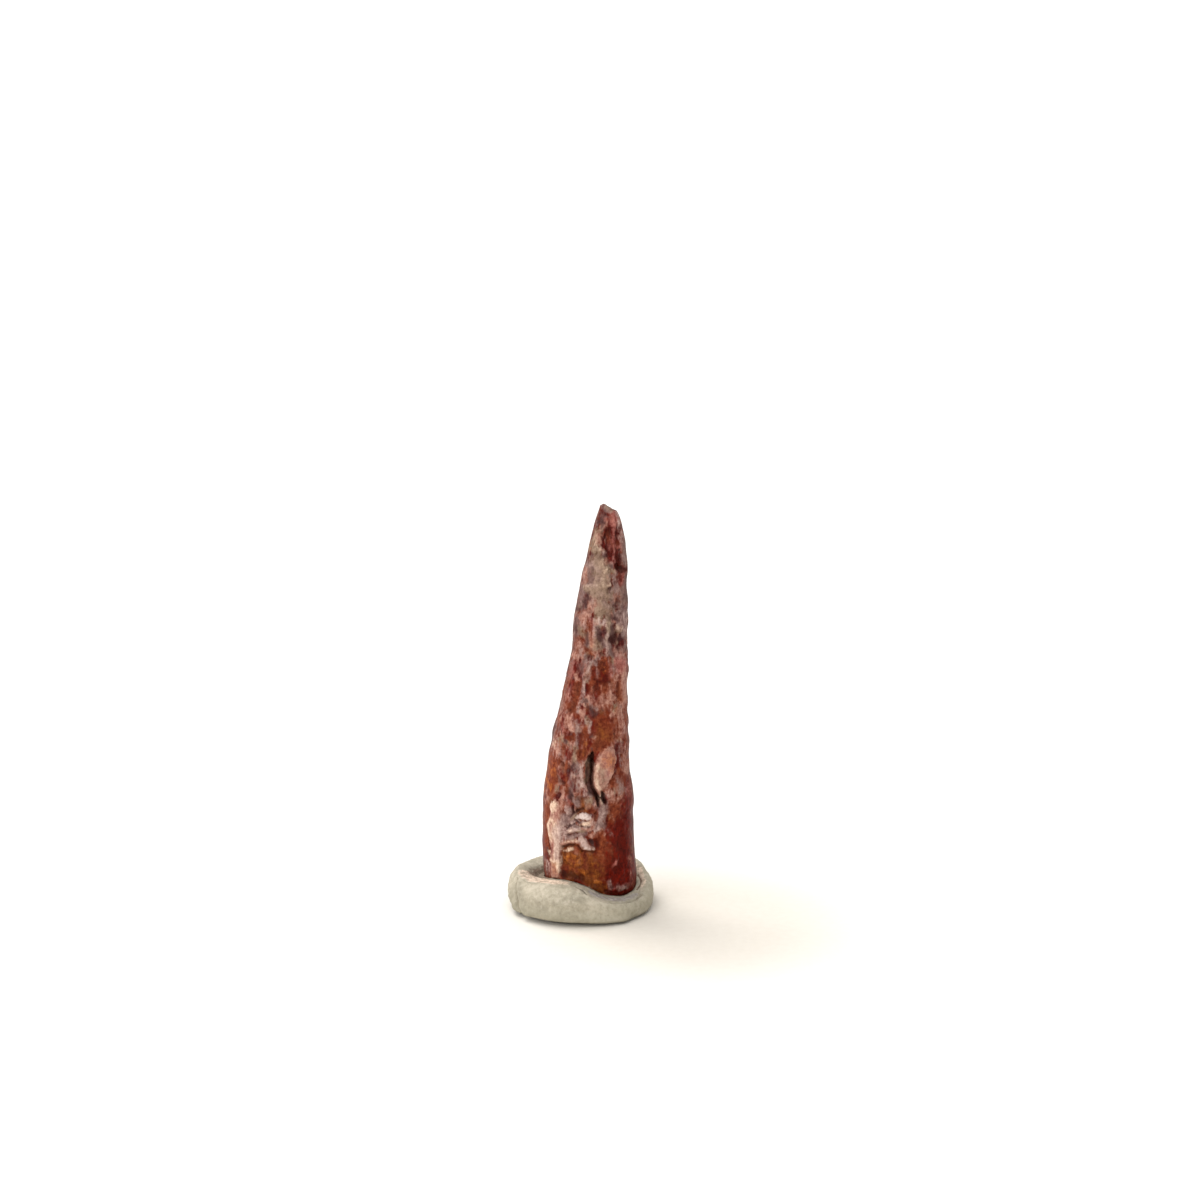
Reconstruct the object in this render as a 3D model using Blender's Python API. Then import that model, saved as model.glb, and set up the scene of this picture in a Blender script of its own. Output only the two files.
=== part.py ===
"""Fossil pterosaur tooth standing upright in a pressed lump of museum putty, at real size.

Metres, +Z up. The origin is on the underside of the putty, at the middle of the whole
object. The side that shows the open crack faces -Y.
"""

import math
from collections import namedtuple

import bmesh
import bpy
from mathutils import Vector, noise

MM = 0.001

# Driving dimensions, in millimetres. The broken face of the tip slopes down to the right
# of its peak, and a little towards the back.
TOOTH_BASE = 0.55
TIP_PEAK = Vector((1.12, 0, 20.85))
TIP_SLOPE_RIGHT = 0.58
TIP_SLOPE_BACK = 0.12
DEPTH_TO_WIDTH = 0.78
DEPTH_TO_WIDTH_AT_TIP = 0.9
BASE_ROUNDING = 0.3
SEAM_GAP = 0.1
RELIEF_ROOM = 0.1
PUTTY_HALF_WIDTH = 3.69
PUTTY_HALF_DEPTH = 3.70
PUTTY_SQUARENESS = 2.25
PUTTY_FLOOR = 0.42
UNDERCUT = math.radians(42)

# How the blanks are divided. The tooth's rows lie closer together towards its root, where
# the flakes are.
TOOTH_COLUMNS = 64
TOOTH_SIDE_ROWS = 46
TOOTH_CROWN_ROWS = 3
ROOT_CROWDING = 1.18
PUTTY_COLUMNS = 88
PUTTY_OUTER_ROWS = 9
PUTTY_INNER_ROWS = 4
PUTTY_WALL_ROWS = 2

# The two side edges of the tooth: height, left edge, right edge.
TOOTH_EDGES = (
    (0.5, -1.66, 2.72),
    (1.4, -1.86, 2.84),
    (2.6, -1.97, 2.75),
    (4.6, -1.95, 2.68),
    (6.6, -1.82, 2.60),
    (8.8, -1.50, 2.41),
    (11.2, -0.96, 2.34),
    (13.4, -0.48, 2.38),
    (15.6, -0.30, 2.37),
    (17.6, 0.08, 2.36),
    (19.2, 0.54, 2.20),
    (20.2, 0.80, 1.94),
    (20.9, 1.06, 1.76),
)

# The rim of the putty round the tooth: compass angle from the right-hand side, height of
# its crest, height at which it meets the tooth, how near its crest is to its outside.
PUTTY_RIM = (
    (0, 1.30, 1.12, 0.60),
    (30, 1.75, 1.32, 0.58),
    (60, 1.90, 1.50, 0.58),
    (90, 1.86, 1.52, 0.60),
    (135, 1.70, 1.46, 0.68),
    (180, 1.83, 1.50, 0.74),
    (200, 1.88, 1.64, 0.80),
    (215, 1.80, 1.74, 0.76),
    (232, 1.82, 1.78, 0.58),
    (250, 1.80, 1.70, 0.58),
    (266, 1.68, 1.50, 0.66),
    (284, 1.22, 1.16, 0.80),
    (300, 0.96, 0.98, 0.84),
    (322, 0.92, 0.84, 0.82),
    (342, 1.06, 0.94, 0.72),
    (360, 1.30, 1.12, 0.60),
)

# A form on the tooth is a stroke along its surface: the side it is on, how far it stands
# out (a hollow is negative), how wide its edge is, and its middle line as places across
# that side, heights and half widths.
Form = namedtuple("Form", "name side rise edge line")

TOOTH_FORMS = (
    Form("left upper groove", "front", -0.11, 0.14, ((1.37, 19.7, 0.05), (1.42, 18.5, 0.07))),
    Form("upper rib", "front", 0.06, 0.12, ((1.50, 20.1, 0.04), (1.66, 17.8, 0.04))),
    Form("right upper groove", "front", -0.12, 0.15, ((1.76, 19.5, 0.05), (1.95, 17.8, 0.09))),
    Form("notch in the right edge", "front", -0.16, 0.18, ((1.66, 17.6, 0.06), (2.30, 17.75, 0.10))),
    Form("upper crust", "front", 0.08, 0.12, ((0.72, 19.2, 0.14), (0.84, 18.55, 0.26))),
    Form("wide crust", "front", 0.10, 0.14, ((0.75, 17.9, 0.45), (0.98, 16.9, 0.62), (0.98, 16.1, 0.64))),
    Form("pit in the wide crust", "front", -0.16, 0.14, ((0.66, 17.5, 0.06), (0.58, 17.1, 0.10))),
    Form("middle crust", "front", 0.08, 0.14, ((1.20, 15.2, 0.60), (1.32, 14.1, 0.72))),
    Form("hollow in the middle crust", "front", -0.12, 0.16, ((1.00, 14.8, 0.10), (0.92, 14.1, 0.14))),
    Form("groove in the middle crust", "front", -0.12, 0.15, ((1.58, 14.8, 0.06), (1.55, 13.6, 0.10))),
    Form("long left ridge", "front", 0.09, 0.16, ((0.38, 13.1, 0.05), (0.10, 12.2, 0.07), (-0.10, 10.9, 0.06))),
    Form("centre hollow", "front", -0.08, 0.40, ((1.00, 12.6, 0.20), (1.25, 12.0, 0.22))),
    Form("left shoulder", "front", 0.10, 0.25, ((-1.42, 8.9, 0.22), (-1.20, 9.1, 0.12))),
    Form("crack", "front", -0.55, 0.16, ((0.55, 8.6, 0.02), (0.50, 7.9, 0.10), (0.46, 7.1, 0.20), (0.85, 5.9, 0.05))),
    Form("lip left of the crack", "front", 0.10, 0.14, ((0.02, 8.0, 0.08), (0.08, 6.2, 0.10))),
    Form("tongue flake", "front", 0.20, 0.13, ((1.50, 8.7, 0.22), (1.30, 7.6, 0.38), (1.02, 6.9, 0.27))),
    Form("slit under the tongue", "front", -0.24, 0.12, ((1.16, 6.45, 0.05), (1.34, 6.0, 0.08))),
    Form("hollow left of the tongue", "front", -0.12, 0.25, ((-0.45, 7.6, 0.20), (-0.55, 5.8, 0.25))),
    Form("drip flake", "front", 0.22, 0.12,
         ((-1.24, 5.7, 0.20), (-1.20, 5.1, 0.22), (-1.32, 4.5, 0.40), (-1.26, 3.6, 0.26), (-1.24, 2.0, 0.27))),
    Form("white chip", "front", 0.18, 0.12, ((-0.10, 5.05, 0.14), (0.25, 5.25, 0.20))),
    Form("gap above the white chip", "front", -0.18, 0.16, ((-0.50, 5.35, 0.06), (0.05, 5.75, 0.08))),
    Form("slate chip", "front", 0.10, 0.14, ((0.90, 4.75, 0.16), (1.20, 5.45, 0.24))),
    Form("gap between the chips", "front", -0.18, 0.16, ((-0.75, 4.40, 0.07), (0.60, 4.55, 0.08))),
    Form("lower tongue chip", "front", 0.18, 0.12, ((-0.10, 4.05, 0.12), (0.42, 3.70, 0.20))),
    Form("cream ledge", "front", 0.14, 0.12, ((-0.85, 3.75, 0.08), (-0.25, 3.88, 0.10))),
    Form("step under the ledge", "front", -0.12, 0.20, ((-0.80, 3.35, 0.12), (0.05, 3.30, 0.12))),
    Form("amber swelling", "front", 0.07, 0.50, ((-0.20, 2.5, 0.30), (0.60, 2.4, 0.35))),
    Form("chip above the putty", "front", 0.09, 0.16, ((1.85, 1.55, 0.14), (2.20, 1.85, 0.22))),
    Form("foot on the right", "right", 0.12, 0.55, ((-0.60, 1.5, 0.35), (0.30, 1.5, 0.35))),
    Form("hollow on the right", "right", -0.14, 0.35, ((-0.25, 10.4, 0.12), (-0.35, 8.4, 0.18))),
    Form("flake on the right", "right", 0.15, 0.13, ((0.75, 6.6, 0.20), (0.90, 5.2, 0.34), (0.80, 4.2, 0.22))),
    Form("groove on the right", "right", -0.12, 0.20, ((0.25, 15.2, 0.05), (0.05, 12.2, 0.09))),
    Form("hollow on the left", "left", -0.12, 0.35, ((0.15, 12.1, 0.12), (0.30, 10.0, 0.16))),
    Form("flake on the left", "left", 0.15, 0.13, ((0.70, 7.4, 0.18), (0.85, 6.2, 0.32), (0.75, 5.2, 0.20))),
    Form("groove on the left", "left", -0.10, 0.18, ((0.25, 17.0, 0.05), (0.20, 14.4, 0.08))),
    Form("crack on the back", "back", -0.35, 0.17, ((0.70, 11.6, 0.03), (0.35, 9.8, 0.10), (0.15, 8.2, 0.03))),
    Form("crust on the back", "back", 0.09, 0.14, ((1.30, 17.8, 0.40), (1.20, 16.2, 0.62), (1.05, 15.4, 0.45))),
    Form("pit in the back crust", "back", -0.15, 0.16, ((1.50, 17.2, 0.10), (1.55, 16.8, 0.10))),
    Form("wide flake on the back", "back", 0.20, 0.13, ((1.20, 6.9, 0.35), (0.80, 5.7, 0.70), (0.60, 5.0, 0.45))),
    Form("step under the wide flake", "back", -0.14, 0.22, ((-0.20, 4.0, 0.16), (1.50, 3.9, 0.18))),
    Form("narrow flake on the back", "back", 0.17, 0.13, ((-0.85, 4.6, 0.20), (-0.65, 2.7, 0.28))),
    Form("ridge on the back", "back", 0.10, 0.18, ((-0.05, 14.0, 0.05), (-0.45, 11.3, 0.08))),
)

# A press in the putty: how far it stands out, how wide its edge is, and its middle line as
# compass angles, shares of the way up the outside from foot to crest, and half widths.
Press = namedtuple("Press", "name rise edge line")

PUTTY_PRESSES = (
    Press("fold at the left front", -0.24, 0.26, ((203, 0.95, 0.03), (209, 0.55, 0.05), (220, 0.05, 0.03))),
    Press("left lobe", 0.10, 0.70, ((184, 0.70, 0.10), (192, 0.35, 0.10))),
    Press("front lobe", 0.12, 0.90, ((228, 0.65, 0.20), (262, 0.60, 0.20))),
    Press("thumb hollow at the back", -0.24, 1.10, ((66, 0.75, 0.20), (86, 0.75, 0.20))),
    Press("fold at the back", -0.28, 0.26, ((112, 0.95, 0.03), (119, 0.50, 0.05), (126, 0.10, 0.03))),
    Press("hollow on the right", -0.10, 0.60, ((12, 0.75, 0.10), (24, 0.75, 0.10))),
    Press("lobe at the right back", 0.12, 0.80, ((40, 0.55, 0.15), (50, 0.55, 0.15))),
)

# The worn surface between the forms: low lumps, and a grain drawn out along the tooth.
LUMP_PITCH = 0.85
LUMP_RISE = 0.05
GRAIN_PITCH = 0.38
GRAIN_STRETCH = 6
GRAIN_RISE = 0.045
PUTTY_LUMP_PITCH = 1.7
PUTTY_LUMP_RISE = 0.07


def clear_scene():
    for obj in list(bpy.data.objects):
        bpy.data.objects.remove(obj, do_unlink=True)


def finish(name, colour, roughness):
    """A plain opaque finish, from an sRGB hex colour."""
    material = bpy.data.materials.new(name)
    material.use_nodes = True
    shader = material.node_tree.nodes["Principled BSDF"]
    channels = [int(colour[i : i + 2], 16) / 255 for i in (0, 2, 4)]
    linear = [c / 12.92 if c <= 0.04045 else ((c + 0.055) / 1.055) ** 2.4 for c in channels]
    shader.inputs["Base Color"].default_value = (*linear, 1)
    shader.inputs["Roughness"].default_value = roughness
    shader.inputs["Metallic"].default_value = 0
    material.diffuse_color = (*linear, 1)
    return material


def smooth_step(low, high, value):
    share = min(1, max(0, (value - low) / (high - low)))
    return share * share * (3 - 2 * share)


def along(stations, at):
    """The values of a list of stations at a place, on a smooth curve through them."""
    at = min(stations[-1][0], max(stations[0][0], at))
    last = len(stations) - 2
    i = next((k for k in range(last) if at <= stations[k + 1][0]), last)
    before, start, end, after = (stations[max(0, min(last + 1, k))] for k in range(i - 1, i + 3))
    run = end[0] - start[0]
    share = (at - start[0]) / run
    values = []
    for k in range(1, len(start)):
        slope_in = (end[k] - before[k]) / (end[0] - before[0]) * run
        slope_out = (after[k] - start[k]) / (after[0] - start[0]) * run
        rise = end[k] - start[k]
        bend = slope_in * share * (1 - share) ** 2 - slope_out * share**2 * (1 - share)
        values.append(start[k] + rise * share**2 * (3 - 2 * share) + bend)
    return values


def stroke_weight(line, edge, across, height):
    """1 within a stroke's half width, falling to 0 over its edge."""
    place = Vector((across, height))
    nearest = edge
    for (x0, z0, w0), (x1, z1, w1) in zip(line, line[1:]):
        start = Vector((x0, z0))
        run = Vector((x1, z1)) - start
        share = min(1, max(0, (place - start).dot(run) / run.length_squared))
        gap = (place - start - run * share).length - (w0 + (w1 - w0) * share)
        nearest = min(nearest, gap)
    return 1 - smooth_step(0, edge, nearest)


def ruled_blank(columns, rows):
    """A closed drum of unit radius, one unit high for each of its rows, from zero up."""
    mesh = bmesh.new()
    bmesh.ops.create_cone(mesh, cap_ends=True, segments=columns, radius1=1, radius2=1, depth=rows)
    bmesh.ops.translate(mesh, verts=mesh.verts, vec=(0, 0, rows / 2))
    for row in range(1, rows):
        top_band = [e for e in mesh.edges if max(v.co.z for v in e.verts) > row]
        every = mesh.verts[:] + top_band + mesh.faces[:]
        bmesh.ops.bisect_plane(mesh, geom=every, plane_co=(0, 0, row), plane_no=(0, 0, 1))
    return mesh


def shaped(name, mesh, place, material):
    """Moves each point of a blank to its place, in millimetres, and makes it an object."""
    for vertex in mesh.verts:
        angle = math.atan2(vertex.co.y, vertex.co.x)
        vertex.co = Vector(place(angle, round(vertex.co.z))) * MM
    data = bpy.data.meshes.new(name)
    mesh.to_mesh(data)
    mesh.free()
    data.materials.append(material)
    data.shade_smooth()
    data.set_sharp_from_angle(angle=math.radians(70))
    obj = bpy.data.objects.new(name, data)
    bpy.context.scene.collection.objects.link(obj)
    return obj


def tooth_section(height):
    """The middle, half width and half depth of the tooth at a height."""
    left, right = along(TOOTH_EDGES, height)
    half_width = (right - left) / 2
    up = smooth_step(TOOTH_BASE, TIP_PEAK.z, height)
    flatness = DEPTH_TO_WIDTH + (DEPTH_TO_WIDTH_AT_TIP - DEPTH_TO_WIDTH) * up
    return (left + right) / 2, half_width, half_width * flatness


def tooth_wall(angle, height):
    """A point of the smooth tooth, before its relief."""
    middle, half_width, half_depth = tooth_section(height)
    return Vector((middle + half_width * math.cos(angle), half_depth * math.sin(angle), height))


def tip_height(place):
    """The height of the broken face of the tip above or below a place."""
    right = max(0, place.x - TIP_PEAK.x)
    return TIP_PEAK.z - TIP_SLOPE_RIGHT * right - TIP_SLOPE_BACK * place.y


def form_weight(form, point, outward):
    facing, across = {
        "front": (-outward.y, point.x),
        "back": (outward.y, point.x),
        "left": (-outward.x, point.y),
        "right": (outward.x, point.y),
    }[form.side]
    if facing <= 0:
        return 0
    return stroke_weight(form.line, form.edge, across, point.z) * smooth_step(0, 0.25, facing)


def tooth_relief(point, outward):
    """How far the worn surface stands off the smooth tooth. It fades towards the thin tip."""
    rise = LUMP_RISE * noise.noise(point / LUMP_PITCH)
    grain = Vector((point.x, point.y, point.z / GRAIN_STRETCH))
    rise += GRAIN_RISE * noise.noise(grain / GRAIN_PITCH)
    rise += sum(form.rise * form_weight(form, point, outward) for form in TOOTH_FORMS)
    return rise * smooth_step(0.2, 0.9, tooth_section(point.z)[1])


def tooth_point(angle, row):
    top = tip_height(tooth_wall(angle, TIP_PEAK.z))
    up = min(1, row / TOOTH_SIDE_ROWS) ** ROOT_CROWDING
    height = TOOTH_BASE + (top - TOOTH_BASE) * up
    wall = tooth_wall(angle, height)
    _, half_width, half_depth = tooth_section(height)
    outward = Vector((math.cos(angle) / half_width, math.sin(angle) / half_depth, 0)).normalized()
    point = wall + outward * tooth_relief(wall, outward)
    if row == 0:
        return point - outward * BASE_ROUNDING
    if row >= TOOTH_SIDE_ROWS:
        middle = Vector((tooth_section(top)[0], 0, point.z))
        inset = (row - TOOTH_SIDE_ROWS + 0.35) / (TOOTH_CROWN_ROWS + 0.6)
        point = point.lerp(middle, inset)
        point.z = tip_height(point) - 0.1 * (1 - inset) ** 3
    return point


def tooth_edge_from(middle, angle, height):
    """Where a line from a middle in a compass direction leaves the smooth tooth."""
    centre, half_width, half_depth = tooth_section(max(TOOTH_BASE, height))
    way = Vector((math.cos(angle), math.sin(angle), 0))
    start = Vector(((middle.x - centre) / half_width, middle.y / half_depth))
    step = Vector((way.x / half_width, way.y / half_depth))
    a = step.dot(step)
    b = start.dot(step)
    c = start.dot(start) - 1
    edge = middle + way * ((-b + math.sqrt(b * b - a * c)) / a + SEAM_GAP + RELIEF_ROOM)
    edge.z = height
    return edge


def putty_outline(angle):
    """The outermost point of the putty at a compass angle, seen from above."""
    across = abs(math.cos(angle) / PUTTY_HALF_WIDTH) ** PUTTY_SQUARENESS
    deep = abs(math.sin(angle) / PUTTY_HALF_DEPTH) ** PUTTY_SQUARENESS
    reach = (across + deep) ** (-1 / PUTTY_SQUARENESS)
    return Vector((math.cos(angle), math.sin(angle), 0)) * reach


def putty_relief(angle, up, point):
    """How far the pressed outside of the putty stands off its smooth bun."""
    compass = math.degrees(angle) % 360
    per_degree = math.radians((PUTTY_HALF_WIDTH + PUTTY_HALF_DEPTH) / 2)
    way_up = 3.0
    rise = PUTTY_LUMP_RISE * noise.noise(point / PUTTY_LUMP_PITCH)
    for press in PUTTY_PRESSES:
        line = [(turn * per_degree, share * way_up, wide) for turn, share, wide in press.line]
        rise += press.rise * stroke_weight(line, press.edge, compass * per_degree, up * way_up)
    return rise * math.sqrt(math.sin(math.pi * (0.1 + 0.8 * up)))


def putty_point(angle, row):
    crest, contact, crest_share = along(PUTTY_RIM, math.degrees(angle) % 360)
    middle = Vector((tooth_section(contact)[0], 0, 0))
    lip = tooth_edge_from(middle, angle, contact)
    outer = putty_outline(angle)
    crest_line = lip.lerp(outer, crest_share)
    if row <= PUTTY_OUTER_ROWS:
        up = row / PUTTY_OUTER_ROWS
        swing = -UNDERCUT + (math.pi / 2 + UNDERCUT) * up
        low = math.sin(-UNDERCUT)
        point = crest_line.lerp(outer, math.cos(swing))
        point.z = crest * (math.sin(swing) - low) / (1 - low)
        return point + outer.normalized() * putty_relief(angle, up, point)
    inward = (row - PUTTY_OUTER_ROWS) / PUTTY_INNER_ROWS
    if inward <= 1:
        point = crest_line.lerp(lip, inward)
        point.z = crest + (contact - crest) * smooth_step(0, 1, inward)
        return point + outer.normalized() * putty_relief(angle, 1, point) * (1 - inward)
    down = (row - PUTTY_OUTER_ROWS - PUTTY_INNER_ROWS) / PUTTY_WALL_ROWS
    return tooth_edge_from(middle, angle, contact + (PUTTY_FLOOR - contact) * down)


def make_tooth():
    blank = ruled_blank(TOOTH_COLUMNS, TOOTH_SIDE_ROWS + TOOTH_CROWN_ROWS)
    return shaped("tooth", blank, tooth_point, finish("mineralised dentine", "8a6051", 0.42))


def make_putty():
    rows = PUTTY_OUTER_ROWS + PUTTY_INNER_ROWS + PUTTY_WALL_ROWS
    blank = ruled_blank(PUTTY_COLUMNS, rows)
    return shaped("putty", blank, putty_point, finish("museum putty", "b9ad99", 0.85))


def centre_on_origin(objects):
    """Moves the object sideways so that the middle of its box stands on the origin."""
    corners = [vertex.co for obj in objects for vertex in obj.data.vertices]
    low, high = (Vector(pick(c[axis] for c in corners) for axis in range(3)) for pick in (min, max))
    aside = (low + high) / 2
    for obj in objects:
        for vertex in obj.data.vertices:
            vertex.co -= Vector((aside.x, aside.y, low.z))


clear_scene()
centre_on_origin([make_tooth(), make_putty()])
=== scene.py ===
import math

import bmesh
import bpy
import numpy as np
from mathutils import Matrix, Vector, noise


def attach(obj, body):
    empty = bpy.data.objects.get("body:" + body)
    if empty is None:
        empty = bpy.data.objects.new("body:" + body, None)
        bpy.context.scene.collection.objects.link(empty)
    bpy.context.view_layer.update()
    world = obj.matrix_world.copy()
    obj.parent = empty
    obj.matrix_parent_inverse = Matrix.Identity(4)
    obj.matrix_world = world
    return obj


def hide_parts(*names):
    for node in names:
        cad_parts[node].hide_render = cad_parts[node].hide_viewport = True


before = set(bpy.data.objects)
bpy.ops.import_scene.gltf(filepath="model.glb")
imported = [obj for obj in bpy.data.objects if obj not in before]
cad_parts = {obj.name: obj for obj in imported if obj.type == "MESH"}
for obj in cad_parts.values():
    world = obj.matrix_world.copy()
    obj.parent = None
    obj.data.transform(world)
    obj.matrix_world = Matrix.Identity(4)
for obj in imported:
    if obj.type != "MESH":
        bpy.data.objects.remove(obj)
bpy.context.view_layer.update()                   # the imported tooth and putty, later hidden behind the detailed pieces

mm = 0.001
print("frame loaded:", ", ".join(sorted(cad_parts)))


# helpers for shape

def deselectAll():
    if bpy.context.object and bpy.context.object.mode != 'OBJECT':
        bpy.ops.object.mode_set(mode='OBJECT')
    bpy.ops.object.select_all(action='DESELECT')


def makeActive(obj):
    # selected alone, so that operators and modifiers act on it and nothing else
    deselectAll()
    obj.select_set(True)
    bpy.context.view_layer.objects.active = obj


def pick(obj, kind, wanted):
    # in edit mode: selects the edges or faces that are wanted, and nothing else
    bpy.ops.mesh.select_all(action='DESELECT')
    mesh = bmesh.from_edit_mesh(obj.data)
    for part in getattr(mesh, kind):
        part.select_set(wanted(part))
    mesh.select_flush_mode()
    bmesh.update_edit_mesh(obj.data)


def addDrum(name, columns, cuts, topRings, footRings):
    # a closed drum of unit radius and height, cut into level rows, with rings inset in both ends
    deselectAll()
    bpy.ops.mesh.primitive_cylinder_add(vertices=columns, radius=1, depth=1, location=(0, 0, 0.5))
    drum = bpy.context.object
    drum.name = name
    bpy.ops.object.transform_apply(location=True, rotation=True, scale=True)
    bpy.ops.object.mode_set(mode='EDIT')
    bpy.ops.mesh.select_mode(type='EDGE')
    for cut in cuts:
        pick(drum, "edges", lambda edge: abs(edge.verts[0].co.z - edge.verts[1].co.z) > 1e-6)
        bpy.ops.mesh.subdivide(number_cuts=cut)
    bpy.ops.mesh.select_mode(type='FACE')
    for level, rings in ((1, topRings), (0, footRings)):
        pick(drum, "faces", lambda face: all(abs(v.co.z - level) < 1e-6 for v in face.verts))
        for ring in range(rings):
            bpy.ops.mesh.inset(thickness=1 / (rings + 1), depth=0)
        bpy.ops.mesh.poke()
    bpy.ops.object.mode_set(mode='OBJECT')
    return drum


def readPoints(obj):
    flat = np.empty(len(obj.data.vertices) * 3)
    obj.data.vertices.foreach_get("co", flat)
    return flat.reshape(-1, 3)


def writePoints(obj, points):
    obj.data.vertices.foreach_set("co", (points * mm).ravel())
    obj.data.update()


def writeCovers(obj, covers):
    for name, values in covers.items():
        layer = obj.data.attributes.new(name, 'FLOAT', 'POINT')
        layer.data.foreach_set("value", np.clip(values, -1, 1).astype(np.float32))


def smoothStep(low, high, value):
    share = np.clip((value - low) / (high - low), 0, 1)
    return share * share * (3 - 2 * share)


def curveThrough(stations, at):
    # smooth curves through a table whose first column is the place and the others the values
    table = np.array(stations, dtype=float)
    at = np.clip(at, table[0, 0], table[-1, 0])
    last = len(table) - 2
    i = np.clip(np.searchsorted(table[:, 0], at, side='right') - 1, 0, last)
    before, start = table[np.maximum(i - 1, 0)], table[i]
    end, after = table[i + 1], table[np.minimum(i + 2, last + 1)]
    run = (end[..., :1] - start[..., :1])
    share = (at - start[..., 0])[..., None] / run
    slopeIn = (end - before) / (end[..., :1] - before[..., :1]) * run
    slopeOut = (after - start) / (after[..., :1] - start[..., :1]) * run
    bend = slopeIn * share * (1 - share) ** 2 - slopeOut * share ** 2 * (1 - share)
    values = start + (end - start) * share ** 2 * (3 - 2 * share) + bend
    return [values[..., k] for k in range(1, table.shape[1])]


def noiseAt(points, pitch, stretch=1.0, shift=0.0):
    # soft noise, mostly -0.5 to 0.5, with a lump about every pitch mm, drawn out along the tooth
    scaled = points / np.array([pitch, pitch, pitch * stretch]) + shift
    return np.array([noise.noise(p) for p in scaled.tolist()])


def strokeGap(line, across, height):
    # how far each place lies outside a stroke, a line of places across, heights and half widths
    nearest = np.full(len(across), 1e3)
    for (x0, z0, w0), (x1, z1, w1) in zip(line, line[1:]):
        runX, runZ = x1 - x0, z1 - z0
        share = np.clip(((across - x0) * runX + (height - z0) * runZ) / (runX ** 2 + runZ ** 2), 0, 1)
        gap = np.hypot(across - x0 - share * runX, height - z0 - share * runZ) - w0 - share * (w1 - w0)
        nearest = np.minimum(nearest, gap)
    return nearest


def paint(covers, finish, weight):
    # lays a finish over what is there already
    for name in covers:
        covers[name] *= 1 - weight
    covers[finish] += weight


def layered(covers):
    # turns each cover into its share of what the finishes after it leave free, for mixing them in turn
    free = 1.0
    shares = {}
    for name in reversed(list(covers)):
        shares[name] = np.clip(covers[name] / np.maximum(free, 0.001), 0, 1)
        free = free - covers[name]
    return shares


def wearDown(obj, pitch, depth):
    # fine uneven wear along the surface, pitch and depth in mm
    makeActive(obj)
    clouds = bpy.data.textures.new("wear", 'CLOUDS')
    clouds.noise_scale = pitch * mm
    clouds.noise_depth = 2
    wear = obj.modifiers.new("wear", 'DISPLACE')    # along the normals, which is what it starts with
    wear.texture = clouds
    wear.texture_coords = 'LOCAL'
    wear.strength = depth * mm
    wear.mid_level = 0.5
    bpy.ops.object.modifier_apply(modifier=wear.name)


def soften(obj, factor):
    # wears the sharpest edges round
    makeActive(obj)
    smooth = obj.modifiers.new("soften", 'SMOOTH')
    smooth.factor, smooth.iterations = factor, 1
    bpy.ops.object.modifier_apply(modifier=smooth.name)


# helpers for materials

def colour(hexValue):
    # sRGB hex to the linear colour that a socket takes
    channels = [int(hexValue[i:i + 2], 16) / 255 for i in (0, 2, 4)]
    return (*[c / 12.92 if c <= 0.04045 else ((c + 0.055) / 1.055) ** 2.4 for c in channels], 1)


def perMm(size):
    # texture scale for a pattern that repeats about every size mm
    return 1 / (size * mm)


def newMaterial(name):
    material = bpy.data.materials.new(name)
    material.use_nodes = True
    return material, material.node_tree, material.node_tree.nodes["Principled BSDF"]


def addNode(tree, kind, inputs=None, **settings):
    # a node with its settings, and its sockets linked or set
    # a Mix node of colours has its factor in socket 0, the colours in 6 and 7, and the result in 2
    made = tree.nodes.new("ShaderNode" + kind)
    for name, value in settings.items():
        setattr(made, name, value)
    for name, value in (inputs or {}).items():
        if isinstance(value, bpy.types.NodeSocket):
            tree.links.new(value, made.inputs[name])
        else:
            made.inputs[name].default_value = value
    return made


def layFinish(tree, factor, tone, finish, skin, gloss):
    # lays a finish over the colour and the roughness below it, as far as the factor says
    dark, light, rough = finish
    tones = addNode(tree, "Mix", {0: tone, 6: colour(dark), 7: colour(light)}, data_type='RGBA').outputs[2]
    skin = addNode(tree, "Mix", {0: factor, 6: skin, 7: tones}, data_type='RGBA').outputs[2]
    return skin, addNode(tree, "Mix", {0: factor, 2: gloss, 3: rough}).outputs[0]


def layWashes(tree, skin, washes):
    # thin washes of one colour: what drives each, and the values of that at which it begins and is full,
    # its strength and its colour
    for drive, (low, high, strength, tone) in washes:
        factor = addNode(tree, "MapRange", {"Value": drive, "From Min": low, "From Max": high,
                                            "To Max": strength}).outputs[0]
        skin = addNode(tree, "Mix", {0: factor, 6: skin, 7: colour(tone)}, data_type='RGBA').outputs[2]
    return skin


# the tooth

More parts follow.
